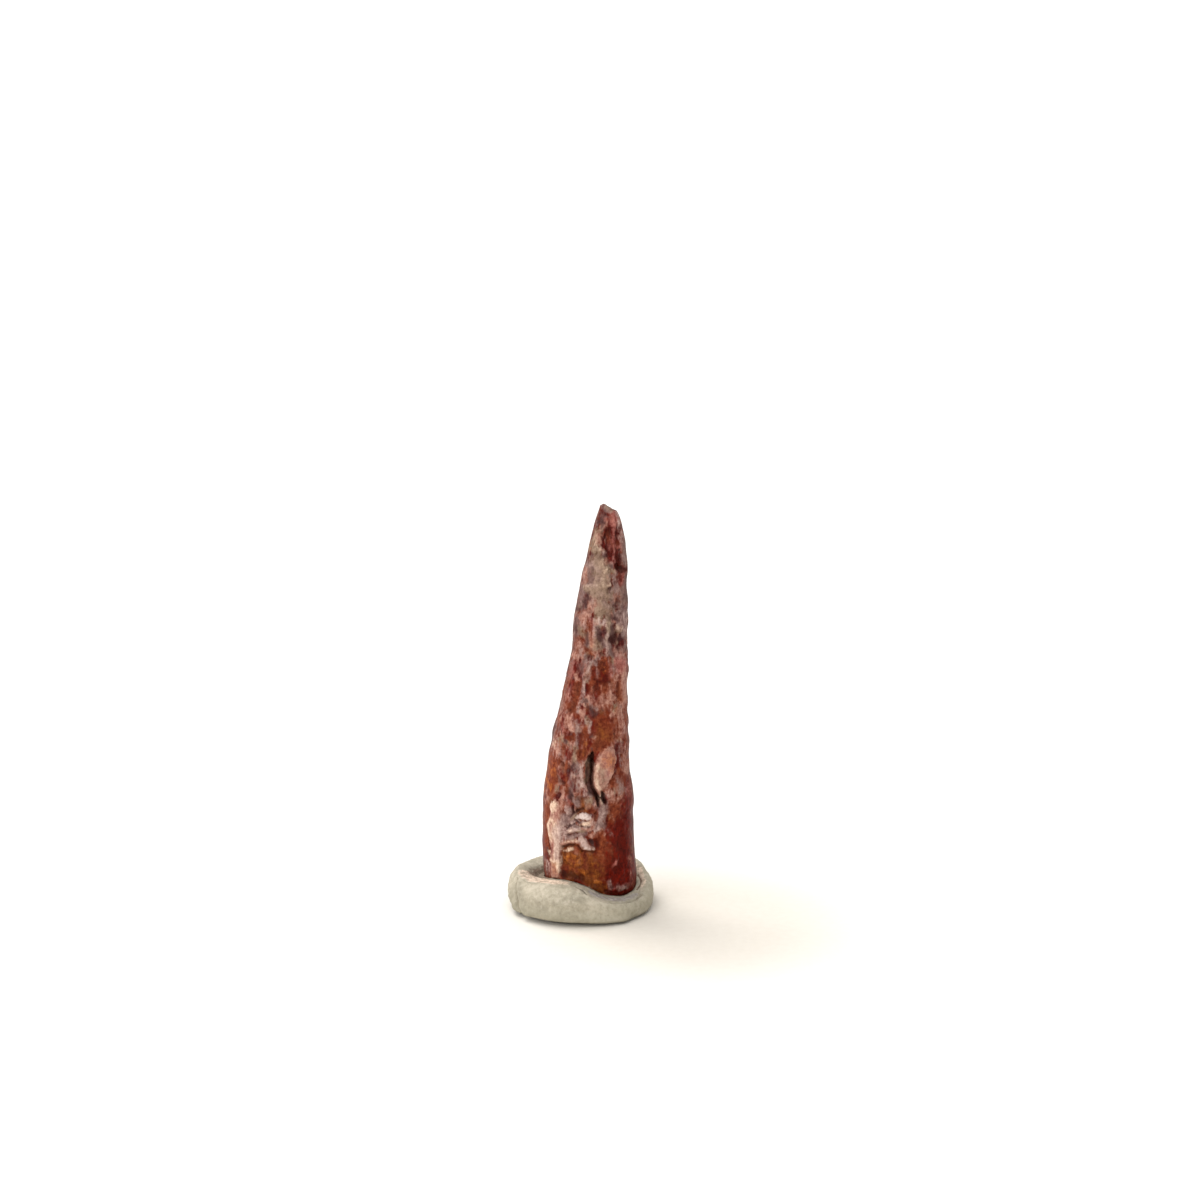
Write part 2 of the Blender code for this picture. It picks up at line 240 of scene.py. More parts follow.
tooth = {
    "columns": 252,                 # faces round it
    "cuts": (91, 3),                # 92 x 4 rows up its side
    "columnCrowding": 0.28,         # how much closer the columns lie at the front
    "rowCrowding": 1.12,            # how much closer the rows lie at the root, 1 is even
    "crownRings": 12,               # rings on the broken tip
    "base": 0.55,                   # mm, hidden in the putty
    "peak": (1.12, 0.0, 20.87),     # mm, highest point of the broken tip
    "slopeRight": 0.58,
    "slopeBack": 0.12,
    "crownDrop": 0.1,               # mm, from the broken face down to its worn edge
    "crownGrain": (0.22, 0.05),     # mm pitch and rise
    "depthToWidth": (0.78, 0.90),   # at the root and at the tip
    "lumps": (0.85, 0.05),          # mm pitch and rise
    "grain": (0.38, 0.030),
    "striations": (0.15, 0.008),
    "wear": (0.16, 0.014),
    "softened": 0.4,                # how far the sharpest edges are worn round, 0 to 1
    "rubbedSides": 0.82,            # how much lower the relief is on the two side edges
    "sideEdge": (0.62, 0.92),       # how squarely the skin faces left or right where that begins and is full
    "sideShade": (0.93, 1.0),            # the same for the painted shade along the two side edges, where the outline looks dark from the front
    "sideShadeCover": 0.42,
    "patchEdge": (-0.26, 0.34),     # noise at which a patch begins and is full
    "patchCover": 0.75,
    "wanderPitch": (0.34, 0.13),    # mm, the long and the short waves in the edges of flakes and stains
    "ragged": 1.0,                  # how far they wander, as a share of the edge's softness
    "raggedSides": 2.4,             # the same on the sides and the back
    "rootShrink": 0.3,              # mm that the hidden root is thinner
    "deepRelief": 0.12,             # mm, a rise or pit that counts as full for the painted shade in hollows and for rubbing
    "aside": (0.012, 0.022),        # mm, the middle of the whole object is the origin
    # the fine patterns of the material: pitch in mm, detail and roughness
    "patterns": {"streaks": (0.17, 4, 0.62), "speckle": (0.12, 3, 0.60),
                 "clouds": (0.75, 5, 0.65), "torn": (0.20, 4, 0.70)},
    "streakLength": 0.3,            # scale of the streaks along the tooth, less is longer
    # the bare dentine: places in its clouds, and their tones
    "bare": ((0.34, "4a1207"), (0.45, "692712"), (0.56, "7d3f29"), (0.68, "9c6650")),
    "bareRoughness": 0.42,
    "unevenGloss": (-0.07, 0.09),   # what the speckle takes off the roughness and adds to it
    # washes: the share of deep relief at which each begins and is full, its strength and its colour
    # painted shade: near-black brown laid into the hollows, darker the deeper they are
    "hollowShade": (-0.1, -0.9, 0.65, "2c0f09"),
    "rubbed": (0.5, 1.4, 0.22, "c9ab98"),
    "ior": 1.54,
    "specular": 0.05,
    "bump": (0.5, 0.02),            # strength, and height in mm
}

# the two side edges: height, left, right
toothEdges = (
    (0.50, -1.66, 2.72), (1.40, -1.86, 2.84), (2.10, -1.94, 2.80), (2.82, -1.97, 2.74),
    (3.36, -1.99, 2.72), (3.89, -1.96, 2.69), (4.42, -1.96, 2.69), (4.95, -1.94, 2.66),
    (5.49, -1.94, 2.71), (6.02, -1.90, 2.67), (6.54, -1.84, 2.59), (7.07, -1.75, 2.49),
    (7.60, -1.69, 2.46), (8.13, -1.62, 2.45), (8.65, -1.50, 2.47), (9.18, -1.45, 2.39),
    (9.70, -1.30, 2.43), (10.22, -1.14, 2.36), (10.74, -1.02, 2.39), (11.27, -0.94, 2.34),
    (11.79, -0.81, 2.34), (12.31, -0.70, 2.43), (12.82, -0.58, 2.39), (13.34, -0.46, 2.38),
    (13.86, -0.41, 2.35), (14.37, -0.41, 2.34), (14.89, -0.37, 2.39), (15.40, -0.29, 2.36),
    (15.91, -0.20, 2.38), (16.43, -0.09, 2.32), (16.94, 0.00, 2.31), (17.45, 0.10, 2.36),
    (17.96, 0.25, 2.34), (18.47, 0.36, 2.28), (18.97, 0.47, 2.24), (19.48, 0.60, 2.13),
    (20.04, 0.74, 2.00), (20.34, 0.84, 1.88), (20.64, 0.94, 1.72), (20.90, 1.02, 1.60),
)

# how far each finish has spread over the old surface at a height: its share of the skin, from 0 to 1
spread = (
    # height, mauve, tan, salmon, maroon, slate, amber
    (0.5, 0.00, 0.00, 0.00, 0.55, 0.00, 0.50),
    (3.0, 0.05, 0.00, 0.06, 0.50, 0.04, 0.45),
    (4.6, 0.52, 0.12, 0.30, 0.35, 0.20, 0.10),
    (7.0, 0.48, 0.12, 0.36, 0.35, 0.20, 0.00),
    (10.0, 0.46, 0.08, 0.32, 0.42, 0.16, 0.00),
    (12.8, 0.46, 0.10, 0.28, 0.42, 0.18, 0.00),
    (13.6, 0.62, 0.38, 0.28, 0.25, 0.38, 0.00),
    (16.8, 0.62, 0.48, 0.16, 0.15, 0.42, 0.00),
    (18.4, 0.62, 0.50, 0.12, 0.40, 0.30, 0.00),
    (20.8, 0.55, 0.12, 0.25, 0.45, 0.34, 0.00),
)

# each of them: the pitch of its patches in mm, how many times they are drawn out along the tooth, and
# its rise in mm
patches = {
    "mauve": (0.55, 1.5, 0.006),
    "tan": (0.60, 1.2, 0.016),
    "salmon": (0.42, 1.4, 0.010),
    "maroon": (0.36, 1.7, -0.012),
    "slate": (0.26, 1.3, -0.012),
    "amber": (0.80, 1.3, 0.006),
}

# finishes of the skin: a dark and a light tone, and a roughness
finishes = {
    "rust": ("561c0e", "8c462a", 0.40),
    "maroon": ("3c0400", "6e1506", 0.34),
    "rose": ("763c34", "ad6e63", 0.42),
    "salmon": ("7c4a3c", "bb8d7c", 0.44),
    "amber": ("4a1f0a", "80441c", 0.30),
    "orange": ("853c14", "bb6e2e", 0.36),
    "tan": ("654d3d", "9b816c", 0.58),
    "mauve": ("604641", "957870", 0.50),
    "slate": ("33191a", "61423d", 0.50),
    "lilac": ("8a6a62", "c4a89e", 0.46),
    "cream": ("b08b71", "ebceb5", 0.50),
    "chalk": ("ab8f88", "e2d2ca", 0.50),
    # this finish is painted shade: near-black brown laid into cracks, gaps, pits and under steps and chips
    "umberShade": ("190805", "452319", 0.60),
}

# strokes on the skin: a name, its finish and cover, its rise and edge in mm, and its line as places
# across that side, heights and half widths in mm; the grounds lie under the patches, the marks over them
grounds = (
    ("mauve ground of the crust", "mauve", 0.92, 0.01, 0.22,
     ((0.82, 18.12, 0.51), (0.77, 16.89, 0.76), (1.07, 15.85, 1.11), (1.02, 14.64, 1.26),
      (0.97, 13.62, 1.21))),
    ("tan ground of the crust", "tan", 0.5, 0.01, 0.25,
     ((0.82, 16.64, 0.4), (0.87, 15.55, 0.45), (0.97, 13.73, 0.35))),
    ("salmon ground of the left crust", "salmon", 0.2, 0.01, 0.22,
     ((0.02, 15.17, 0.2), (-0.03, 14.06, 0.25), (-0.13, 13.29, 0.2))),
    ("mauve field at the left", "mauve", 0.45, 0.02, 0.18,
     ((-0.16, 12.84, 0.15), (-0.31, 12.22, 0.15), (-0.51, 11.49, 0.14))),
    ("salmon field under the core", "salmon", 0.45, 0.02, 0.2, ((0.82, 10.9, 0.2), (1.27, 10.68, 0.2))),
    ("mauve field left of the crack", "mauve", 0.8, 0.03, 0.18,
     ((-0.16, 7.8, 0.23), (-0.24, 7.13, 0.25), (-0.29, 6.41, 0.27))),
    ("mauve field of the flakes", "mauve", 0.6, -0.02, 0.18,
     ((-0.72, 5.96, 0.18), (-0.44, 5.68, 0.25), (-0.62, 5.05, 0.2))),
)

marks = {}
marks["front"] = (
    # tip
    ("grey cap of the tip", "mauve", 0.8, 0.03, 0.08,
     ((1.12, 20.77, 0.09), (1.37, 20.59, 0.13), (1.62, 20.46, 0.08))),
    ("tan rim of the cap", "tan", 0.6, 0.02, 0.06, ((1.27, 20.73, 0.05), (1.57, 20.53, 0.06))),
    ("dark purple stain", "slate", 0.65, -0.03, 0.14,
     ((1.12, 20.33, 0.15), (1.07, 19.99, 0.15), (1.02, 19.7, 0.1))),
    ("rosy spot in the stain", "rose", 0.35, 0.02, 0.08, ((1.27, 20.17, 0.09), (1.42, 20.05, 0.06))),
    ("red head of the upper groove", "maroon", 0.6, -0.04, 0.12, ((1.52, 19.9, 0.09), (1.42, 19.46, 0.12))),
    ("rosy shoulder", "rose", 0.9, 0.04, 0.1, ((1.66, 20.37, 0.11), (1.81, 19.98, 0.13))),
    ("lilac edge of the shoulder", "lilac", 0.75, 0.02, 0.1, ((1.79, 20.42, 0.07), (1.96, 20, 0.08))),
    ("pale rib", "rose", 0.7, 0.05, 0.1, ((1.65, 19.9, 0.09), (1.61, 19.12, 0.08), (1.62, 18.03, 0.08))),
    ("mauve film of the rib", "mauve", 0.35, 0, 0.12, ((1.6, 18.72, 0.08), (1.59, 17.83, 0.09))),
    ("dark cleft left of the groove", "maroon", 0.8, -0.06, 0.1, ((1.1, 19.41, 0.06), (1.13, 18.87, 0.07))),
    ("left upper groove", "maroon", 0.72, -0.1, 0.12,
     ((1.35, 19.56, 0.13), (1.39, 18.98, 0.13), (1.44, 18.24, 0.09))),
    ("right upper groove", "maroon", 0.5, -0.06, 0.13, ((1.87, 19.68, 0.11), (1.86, 18.8, 0.14))),
    ("brown nick at the right of the tip", "slate", 0.6, -0.03, 0.1,
     ((2.01, 19.75, 0.06), (2.07, 19.45, 0.06))),
    ("rosy bar in the right groove", "rose", 0.6, 0.03, 0.09, ((1.79, 18.86, 0.08), (2.03, 18.58, 0.08))),
    ("rosy streak in the left groove", "rose", 0.45, 0.02, 0.09, ((1.5, 19.41, 0.05), (1.44, 18.73, 0.06))),
    ("rust streak in the left groove", "rust", 0.6, 0.01, 0.08, ((1.35, 19.47, 0.07), (1.36, 19.07, 0.08))),
    ("mauve streak at the right edge", "mauve", 0.6, 0.02, 0.11, ((2.08, 19.06, 0.08), (2.17, 18.16, 0.08))),
    ("rosy streak at the right edge", "rose", 0.45, 0.02, 0.11, ((2.04, 19.45, 0.06), (2.08, 18.82, 0.07))),
    ("right lower groove", "maroon", 0.62, -0.08, 0.13, ((1.88, 18.45, 0.12), (1.91, 17.91, 0.14))),
    ("black notch at the right", "maroon", 1, -0.14, 0.1, ((1.81, 17.82, 0.06), (2.22, 17.6, 0.12))),
    ("floor of the notch", "umberShade", 0.75, -0.04, 0.07, ((1.99, 17.72, 0.04), (2.24, 17.57, 0.08))),
    ("grey film on the right edge", "mauve", 0.75, 0.02, 0.12, ((2.17, 19.22, 0.08), (2.25, 17.89, 0.09))),
    ("rosy field below the notch", "rose", 0.3, 0, 0.16, ((1.84, 17.27, 0.17), (1.92, 16.71, 0.15))),
    ("red stain below the notch", "maroon", 0.4, -0.03, 0.13, ((1.94, 17.41, 0.09), (1.79, 17.02, 0.08))),
    ("rosy streak below the notch", "rose", 0.55, 0.02, 0.1, ((2.1, 17.43, 0.07), (2.07, 16.93, 0.08))),
    ("mauve below the notch", "mauve", 0.7, 0.02, 0.14, ((1.69, 17.48, 0.09), (1.69, 16.63, 0.11))),
    # tan matrix
    ("slate blotches of the left crust", "slate", 0.4, -0.02, 0.12,
     ((0.17, 14.24, 0.08), (0.1, 13.78, 0.09))),
    ("slate blotch below them", "slate", 0.35, -0.02, 0.11, ((-0.15, 14.73, 0.08), (-0.06, 14.45, 0.08))),
    ("rust blotch at the left", "rust", 0.35, -0.02, 0.11, ((0.1, 14.08, 0.08), (0.19, 13.58, 0.08))),
    ("olive tan left of the groove", "tan", 0.85, 0.05, 0.1,
     ((0.85, 19.44, 0.13), (0.7, 18.89, 0.13), (0.62, 18.59, 0.08))),
    ("rosy brown in the tan", "salmon", 0.6, 0.01, 0.09, ((0.9, 19.3, 0.1), (0.97, 19.01, 0.08))),
    ("brown stain in the tan", "slate", 0.5, -0.02, 0.08, ((1.15, 19.22, 0.05), (1.09, 18.97, 0.06))),
    ("pale chip", "cream", 0.4, 0.08, 0.08, ((0.84, 18.83, 0.09), (0.97, 18.69, 0.1), (1.12, 18.6, 0.09))),
    ("olive edge of the chip", "tan", 0.7, 0.02, 0.07, ((0.7, 18.74, 0.09), (1.02, 18.51, 0.08))),
    ("slate line under the chip", "slate", 0.6, -0.05, 0.06,
     ((0.52, 18.38, 0.05), (0.87, 18.34, 0.06), (1.24, 18.36, 0.06))),
    ("wide tan crust", "tan", 0.6, 0.09, 0.14, ((0.82, 18.02, 0.3), (0.82, 17.49, 0.53), (0.8, 17.04, 0.63))),
    ("mauve of the wide crust", "mauve", 0.5, 0, 0.16, ((0.4, 17.78, 0.13), (0.3, 17.08, 0.17))),
    ("lit edge of the wide crust", "cream", 0.25, 0.03, 0.09, ((1.11, 18.11, 0.07), (1.29, 17.84, 0.08))),
    ("rosy left of the crust", "salmon", 0.5, 0, 0.12, ((0.3, 17.57, 0.1), (0.22, 17.02, 0.12))),
    ("pit in the crust", "slate", 0.6, -0.09, 0.14,
     ((0.64, 17.6, 0.08), (0.54, 17.27, 0.11), (0.55, 17.02, 0.08))),
    ("tan grain in the crust a", "cream", 0.2, 0.02, 0.07, ((0.95, 17.74, 0.05), (0.85, 17.24, 0.06))),
    ("tan grain in the crust b", "cream", 0.3, 0.02, 0.07, ((1.22, 17.69, 0.05), (1.1, 17.15, 0.07))),
    ("brown grain in the crust", "slate", 0.3, -0.02, 0.06, ((1.09, 17.79, 0.04), (0.92, 17.19, 0.05))),
    ("lilac grain in the crust", "lilac", 0.4, 0.02, 0.08, ((0.74, 17.97, 0.07), (0.81, 17.63, 0.06))),
    ("cream ridge of the crust", "cream", 0.35, 0.06, 0.08,
     ((0.25, 16.74, 0.05), (0.57, 16.86, 0.06), (1.02, 16.91, 0.06), (1.42, 16.91, 0.06))),
    ("crack under the ridge", "slate", 0.9, -0.07, 0.07, ((1.12, 16.66, 0.04), (1.45, 16.77, 0.06))),
    ("olive below the ridge", "tan", 0.85, 0.02, 0.1, ((0.37, 16.67, 0.07), (1.17, 16.74, 0.07))),
    ("slate below the ridge", "slate", 0.35, -0.04, 0.1, ((0.3, 16.54, 0.06), (0.97, 16.53, 0.05))),
    ("grey film left of the crust", "mauve", 0.6, 0.03, 0.12, ((0.12, 16.61, 0.1), (-0.02, 15.95, 0.11))),
    ("dark spot at the left a", "slate", 0.75, -0.04, 0.09, ((0.41, 16.33, 0.08), (0.5, 16.2, 0.07))),
    ("dark spot at the left b", "slate", 0.8, -0.05, 0.09, ((0.24, 16.1, 0.06), (0.24, 15.8, 0.08))),
    ("olive field below the ridge", "tan", 0.5, 0.03, 0.12, ((0.67, 16.49, 0.11), (0.97, 16.35, 0.11))),
    ("orange tan patch", "salmon", 0.45, 0.04, 0.14, ((0.65, 16.11, 0.14), (0.82, 15.85, 0.17))),
    ("tan field", "tan", 0.4, 0.03, 0.12, ((0.87, 16.05, 0.09), (0.97, 15.65, 0.11))),
    ("rosy grey patch", "mauve", 0.4, 0.04, 0.12, ((1.14, 16.45, 0.12), (1.49, 16.29, 0.13))),
    ("thin line in the grey patch", "slate", 0.6, -0.03, 0.05,
     ((0.97, 16.32, 0.03), (1.27, 16.24, 0.03), (1.57, 16.16, 0.03))),
    ("brown below the left spots", "slate", 0.55, -0.03, 0.12, ((0.15, 15.64, 0.1), (0.47, 15.6, 0.08))),
    ("dark patch at the right a", "slate", 0.5, -0.06, 0.13, ((1.67, 15.9, 0.12), (1.87, 16.03, 0.11))),
    ("dark patch at the right b", "slate", 0.55, -0.05, 0.14, ((1.29, 15.54, 0.13), (1.64, 15.3, 0.14))),
    ("pale bridge between them", "mauve", 0.75, 0.04, 0.1, ((1.25, 15.9, 0.09), (1.49, 15.71, 0.08))),
    ("grey film at the right", "mauve", 0.6, 0.03, 0.16, ((2.07, 16.58, 0.11), (2.14, 15.14, 0.12))),
    ("lilac chip at the right a", "lilac", 0.45, 0.03, 0.1, ((1.99, 15.63, 0.07), (2.07, 15.42, 0.06))),
    ("rust stain at the right", "rust", 0.35, -0.02, 0.12, ((1.79, 16.32, 0.08), (1.97, 16.09, 0.08))),
    ("dark streak at the right edge", "slate", 0.3, -0.03, 0.1, ((2.09, 16.07, 0.07), (2.06, 15.47, 0.08))),
    ("light tan centre", "tan", 0.45, 0.03, 0.11, ((0.85, 15.65, 0.09), (0.87, 15.3, 0.1))),
    # mottled crust
    ("rust spot at the left a", "rust", 0.55, -0.03, 0.11, ((-0.03, 15.31, 0.1), (0.13, 15.16, 0.1))),
    ("salmon by the rust spot", "salmon", 0.5, 0.02, 0.12, ((0.25, 15.48, 0.11), (-0.1, 14.94, 0.11))),
    ("rust spot at the left b", "rust", 0.65, -0.04, 0.12, ((0.4, 14.89, 0.11), (0.48, 14.5, 0.11))),
    ("rosy beside the rust spot", "rose", 0.4, 0.02, 0.1, ((0.6, 15.11, 0.08), (0.64, 14.73, 0.07))),
    ("brown left rim", "slate", 0.5, -0.03, 0.13, ((-0.26, 15.04, 0.08), (-0.21, 14.47, 0.09))),
    ("salmon field at the left", "salmon", 0.15, 0.03, 0.15, ((-0.03, 14.36, 0.14), (-0, 13.86, 0.14))),
    ("dark purple patch", "slate", 0.9, -0.06, 0.12, ((0.93, 14.69, 0.13), (0.91, 14.23, 0.14))),
    ("brown below the purple patch", "slate", 0.5, -0.04, 0.1, ((1.09, 14.23, 0.07), (1.15, 14.05, 0.08))),
    ("pale halo of the patch", "lilac", 0.5, 0.04, 0.12, ((0.87, 15.09, 0.14), (1.22, 15.02, 0.13))),
    ("pale halo at its left", "lilac", 0.4, 0.03, 0.09, ((0.7, 14.79, 0.07), (0.71, 14.28, 0.07))),
    ("pale streak", "lilac", 0.5, 0.05, 0.09, ((1.32, 14.84, 0.08), (1.3, 14.13, 0.07), (1.29, 13.42, 0.07))),
    ("olive top of the streak", "tan", 0.6, 0.03, 0.08, ((1.39, 15.03, 0.06), (1.4, 14.68, 0.06))),
    ("dark groove of the crust", "slate", 0.65, -0.08, 0.12, ((1.61, 14.77, 0.11), (1.62, 14.1, 0.13))),
    ("maroon foot of the groove", "maroon", 0.4, -0.05, 0.13, ((1.63, 14.1, 0.12), (1.71, 13.48, 0.13))),
    ("grey film by the groove", "mauve", 0.6, 0.02, 0.09, ((1.47, 13.91, 0.06), (1.52, 13.35, 0.08))),
    ("pale spot at the right", "cream", 0.4, 0.06, 0.1, ((1.84, 14.77, 0.09), (1.98, 14.62, 0.1))),
    ("olive under the pale spot", "tan", 0.6, 0.02, 0.08, ((1.82, 14.51, 0.07), (1.94, 14.47, 0.06))),
    ("brown at the right edge", "slate", 0.45, -0.04, 0.15, ((2.02, 14.25, 0.14), (2.02, 13.74, 0.15))),
    ("dark line in the brown", "maroon", 0.3, -0.04, 0.09, ((1.85, 14.38, 0.05), (1.88, 13.77, 0.06))),
    ("orange tan at the left", "salmon", 0.5, 0.04, 0.12, ((0.5, 14.32, 0.12), (0.58, 13.84, 0.14))),
    ("orange heart of it", "orange", 0.3, 0, 0.1, ((0.5, 14.22, 0.07), (0.6, 13.82, 0.08))),
    ("brown beside the orange", "slate", 0.35, -0.03, 0.09, ((0.4, 13.81, 0.05), (0.49, 13.61, 0.06))),
    ("lilac spot at the left", "lilac", 0.45, 0.03, 0.1, ((0.15, 14.94, 0.07), (0.25, 14.6, 0.07))),
    ("lilac line at the left", "lilac", 0.4, 0.03, 0.1, ((-0.21, 14.37, 0.07), (-0.16, 13.98, 0.07))),
    ("tan spots at the left", "tan", 0.55, 0.03, 0.11, ((-0.03, 14.61, 0.08), (0.12, 14.38, 0.07))),
    ("slate line at the left", "slate", 0.45, -0.03, 0.09, ((0.3, 14.45, 0.05), (0.37, 13.96, 0.05))),
    ("tan spot by the purple patch", "tan", 0.45, 0.03, 0.1, ((0.75, 14.08, 0.07), (0.7, 13.62, 0.08))),
    ("brown below the orange", "rust", 0.6, -0.05, 0.12, ((0.35, 13.55, 0.1), (0.6, 13.39, 0.1))),
    ("purple under the brown", "slate", 0.55, -0.03, 0.09, ((0.32, 13.27, 0.06), (0.49, 13.26, 0.06))),
    ("rosy left edge", "salmon", 0.45, 0.03, 0.14, ((-0.15, 13.78, 0.12), (-0.18, 13.18, 0.12))),
    ("brown left edge", "rust", 0.5, -0.02, 0.12, ((-0.16, 14.13, 0.08), (-0.28, 13.5, 0.08))),
    ("tan brown centre", "tan", 0.35, 0.03, 0.12, ((0.95, 13.78, 0.1), (1.09, 13.45, 0.11))),
    ("salmon at the right edge", "salmon", 0.4, 0.05, 0.13, ((1.97, 13.55, 0.12), (2, 13.24, 0.12))),
    ("lit ledge of the crust", "lilac", 0.45, 0.06, 0.07,
     ((0.67, 13.11, 0.05), (0.97, 13.19, 0.05), (1.27, 13.24, 0.04))),
    ("tan knob of the ledge", "tan", 0.75, 0.04, 0.08, ((1.53, 13.16, 0.06), (1.67, 12.95, 0.07))),
    # red core
    ("red core", "rust", 0.95, -0.04, 0.2, ((1.07, 12.71, 0.3), (1.12, 11.8, 0.38))),
    ("red core to the left", "rust", 0.6, -0.02, 0.16, ((0.62, 12.71, 0.1), (0.59, 11.61, 0.13))),
    ("red top of the core", "rust", 0.9, -0.03, 0.1, ((1.21, 13.16, 0.09), (1.12, 12.81, 0.16))),
    ("deep red heart", "maroon", 0.85, -0.05, 0.15,
     ((1.12, 12.46, 0.15), (1.3, 12.15, 0.18), (1.02, 12.06, 0.13))),
    ("deep red left of the heart", "maroon", 0.65, -0.04, 0.11, ((0.68, 12.61, 0.08), (0.63, 12.26, 0.09))),
    ("orange in the core", "orange", 0.4, 0.01, 0.09, ((1.23, 12.81, 0.06), (1.19, 12.56, 0.07))),
    ("lilac ridge", "lilac", 0.55, 0.08, 0.1,
     ((0.5, 13.06, 0.06), (0.37, 12.55, 0.07), (0.24, 12.04, 0.09), (0.14, 11.53, 0.08),
      (-0.03, 11.12, 0.07), (-0.15, 10.71, 0.06))),
    ("rose patch at the top of the ridge", "rose", 0.35, 0.02, 0.12,
     ((0.2, 12.89, 0.08), (0.09, 12.38, 0.08))),
    ("slate streak left of the ridge", "slate", 0.35, -0.03, 0.1, ((0.12, 13.03, 0.06), (-0, 12.47, 0.06))),
    ("mauve side of the ridge", "mauve", 0.15, 0.02, 0.12,
     ((0.39, 12.9, 0.14), (0.29, 12.1, 0.13), (0.09, 11.38, 0.11))),
    ("slate stripe at the left", "slate", 0.35, -0.04, 0.11, ((-0, 12.72, 0.08), (-0.1, 12.26, 0.08))),
    ("rosy stripe at the left", "rose", 0.55, 0.02, 0.11, ((-0.38, 12.79, 0.08), (-0.55, 12.17, 0.09))),
    ("brown stripe at the left", "rust", 0.5, -0.03, 0.11, ((-0.16, 11.9, 0.08), (-0.26, 11.44, 0.09))),
    ("rosy field at the left", "rose", 0.4, 0.02, 0.14, ((-0.51, 11.59, 0.1), (-0.69, 10.97, 0.11))),
    ("salmon left edge", "salmon", 0.4, 0.03, 0.15, ((-0.74, 11.24, 0.09), (-0.94, 10.32, 0.11))),
    ("rust stripe left of the ridge", "rust", 0.8, -0.05, 0.12,
     ((-0.05, 11.87, 0.06), (-0.2, 11.15, 0.1), (-0.41, 10.48, 0.13))),
    ("rosy right edge", "rose", 0.95, 0.04, 0.14, ((1.92, 12.99, 0.15), (2.07, 12.55, 0.17))),
    ("salmon of the right edge", "salmon", 0.75, 0.02, 0.16, ((2.15, 12.27, 0.12), (2.18, 10.92, 0.14))),
    ("orange of the right edge", "orange", 0.3, 0, 0.12, ((2.13, 11.56, 0.07), (2.1, 10.95, 0.08))),
    ("mauve at the right of the core", "mauve", 0.5, 0.02, 0.13, ((1.6, 12.68, 0.08), (1.65, 12.17, 0.08))),
    ("salmon line at the right edge", "salmon", 0.5, 0.03, 0.1, ((2.1, 12.08, 0.07), (2.15, 11.34, 0.07))),
    ("maroon streak at the right", "rust", 0.8, -0.05, 0.11, ((1.9, 11.82, 0.08), (1.95, 10.99, 0.1))),
    ("salmon between the streaks", "salmon", 0.4, 0.02, 0.1, ((1.71, 12.26, 0.06), (1.74, 11.64, 0.07))),
    ("pale spot of the core", "salmon", 0.7, 0.04, 0.09, ((1.5, 11.34, 0.08), (1.65, 11.14, 0.08))),
    ("tan spot", "tan", 0.5, 0.04, 0.11, ((1.7, 10.73, 0.11), (1.9, 10.44, 0.11))),
    ("orange in the tan spot", "orange", 0.35, 0, 0.09, ((1.77, 10.61, 0.06), (1.82, 10.3, 0.07))),
    ("maroon streak in the core", "maroon", 0.55, -0.04, 0.11, ((0.82, 11.91, 0.07), (0.74, 11.25, 0.08))),
    ("salmon streak in the core", "salmon", 0.45, 0.03, 0.11, ((1.05, 11.8, 0.06), (1.02, 10.99, 0.08))),
    ("salmon streaks right in the core", "salmon", 0.5, 0.03, 0.11,
     ((1.45, 11.88, 0.06), (1.39, 11.38, 0.08))),
    ("mauve streak left in the core", "mauve", 0.45, 0.02, 0.11, ((0.8, 12.92, 0.06), (0.85, 12.31, 0.06))),
    ("rosy streak in the core", "rose", 0.4, 0.02, 0.11, ((1.52, 12.79, 0.07), (1.51, 12.18, 0.07))),
    ("salmon streak low in the core", "salmon", 0.4, 0.02, 0.11, ((0.59, 11.71, 0.06), (0.55, 11.1, 0.08))),
    ("purple patch", "slate", 0.7, -0.05, 0.13, ((0.47, 10.67, 0.13), (0.65, 10.4, 0.15))),
    ("maroon round the purple", "maroon", 0.5, -0.02, 0.13, ((0.25, 10.54, 0.09), (0.32, 10.32, 0.08))),
    # middle
    ("salmon field of the middle", "salmon", 0.5, 0.04, 0.18, ((-0.61, 10.06, 0.2), (-0.41, 9.69, 0.25))),
    ("mauve in the salmon field", "mauve", 0.5, 0.03, 0.13, ((-0.26, 9.96, 0.12), (-0.1, 9.57, 0.13))),
    ("rosy in the salmon field", "rose", 0.4, 0.02, 0.12, ((-0.87, 9.57, 0.1), (-0.66, 9.36, 0.11))),
    ("tan in the purple patch", "tan", 0.5, 0.03, 0.1, ((0.27, 10.19, 0.08), (0.37, 9.99, 0.1))),
    ("dark side of the patch", "maroon", 0.5, -0.03, 0.1, ((0.07, 10.18, 0.06), (0.12, 9.93, 0.07))),
    ("grey left rim", "mauve", 0.85, 0.02, 0.11, ((-1.21, 9.75, 0.07), (-1.36, 8.98, 0.09))),
    # painted highlight: the cream left edge and its heart paint a bright spot of light on the left edge
    ("cream left edge", "lilac", 0.9, 0.05, 0.1, ((-1.32, 8.85, 0.09), (-1.38, 8.53, 0.1))),
    ("cream heart of the edge", "cream", 0.8, 0.02, 0.07, ((-1.3, 8.81, 0.05), (-1.37, 8.53, 0.06))),
    ("rust in the middle a", "rust", 0.95, -0.05, 0.09, ((-0.51, 9.12, 0.1), (-0.37, 9.11, 0.11))),
    ("mauve streak of the middle", "mauve", 0.6, 0.03, 0.1, ((-0.15, 9.57, 0.07), (-0.19, 8.86, 0.07))),
    ("maroon streak of the middle", "maroon", 0.6, -0.04, 0.11, ((-0.01, 9.33, 0.07), (-0.02, 8.67, 0.09))),
    ("rust in the middle b", "rust", 0.85, -0.04, 0.12,
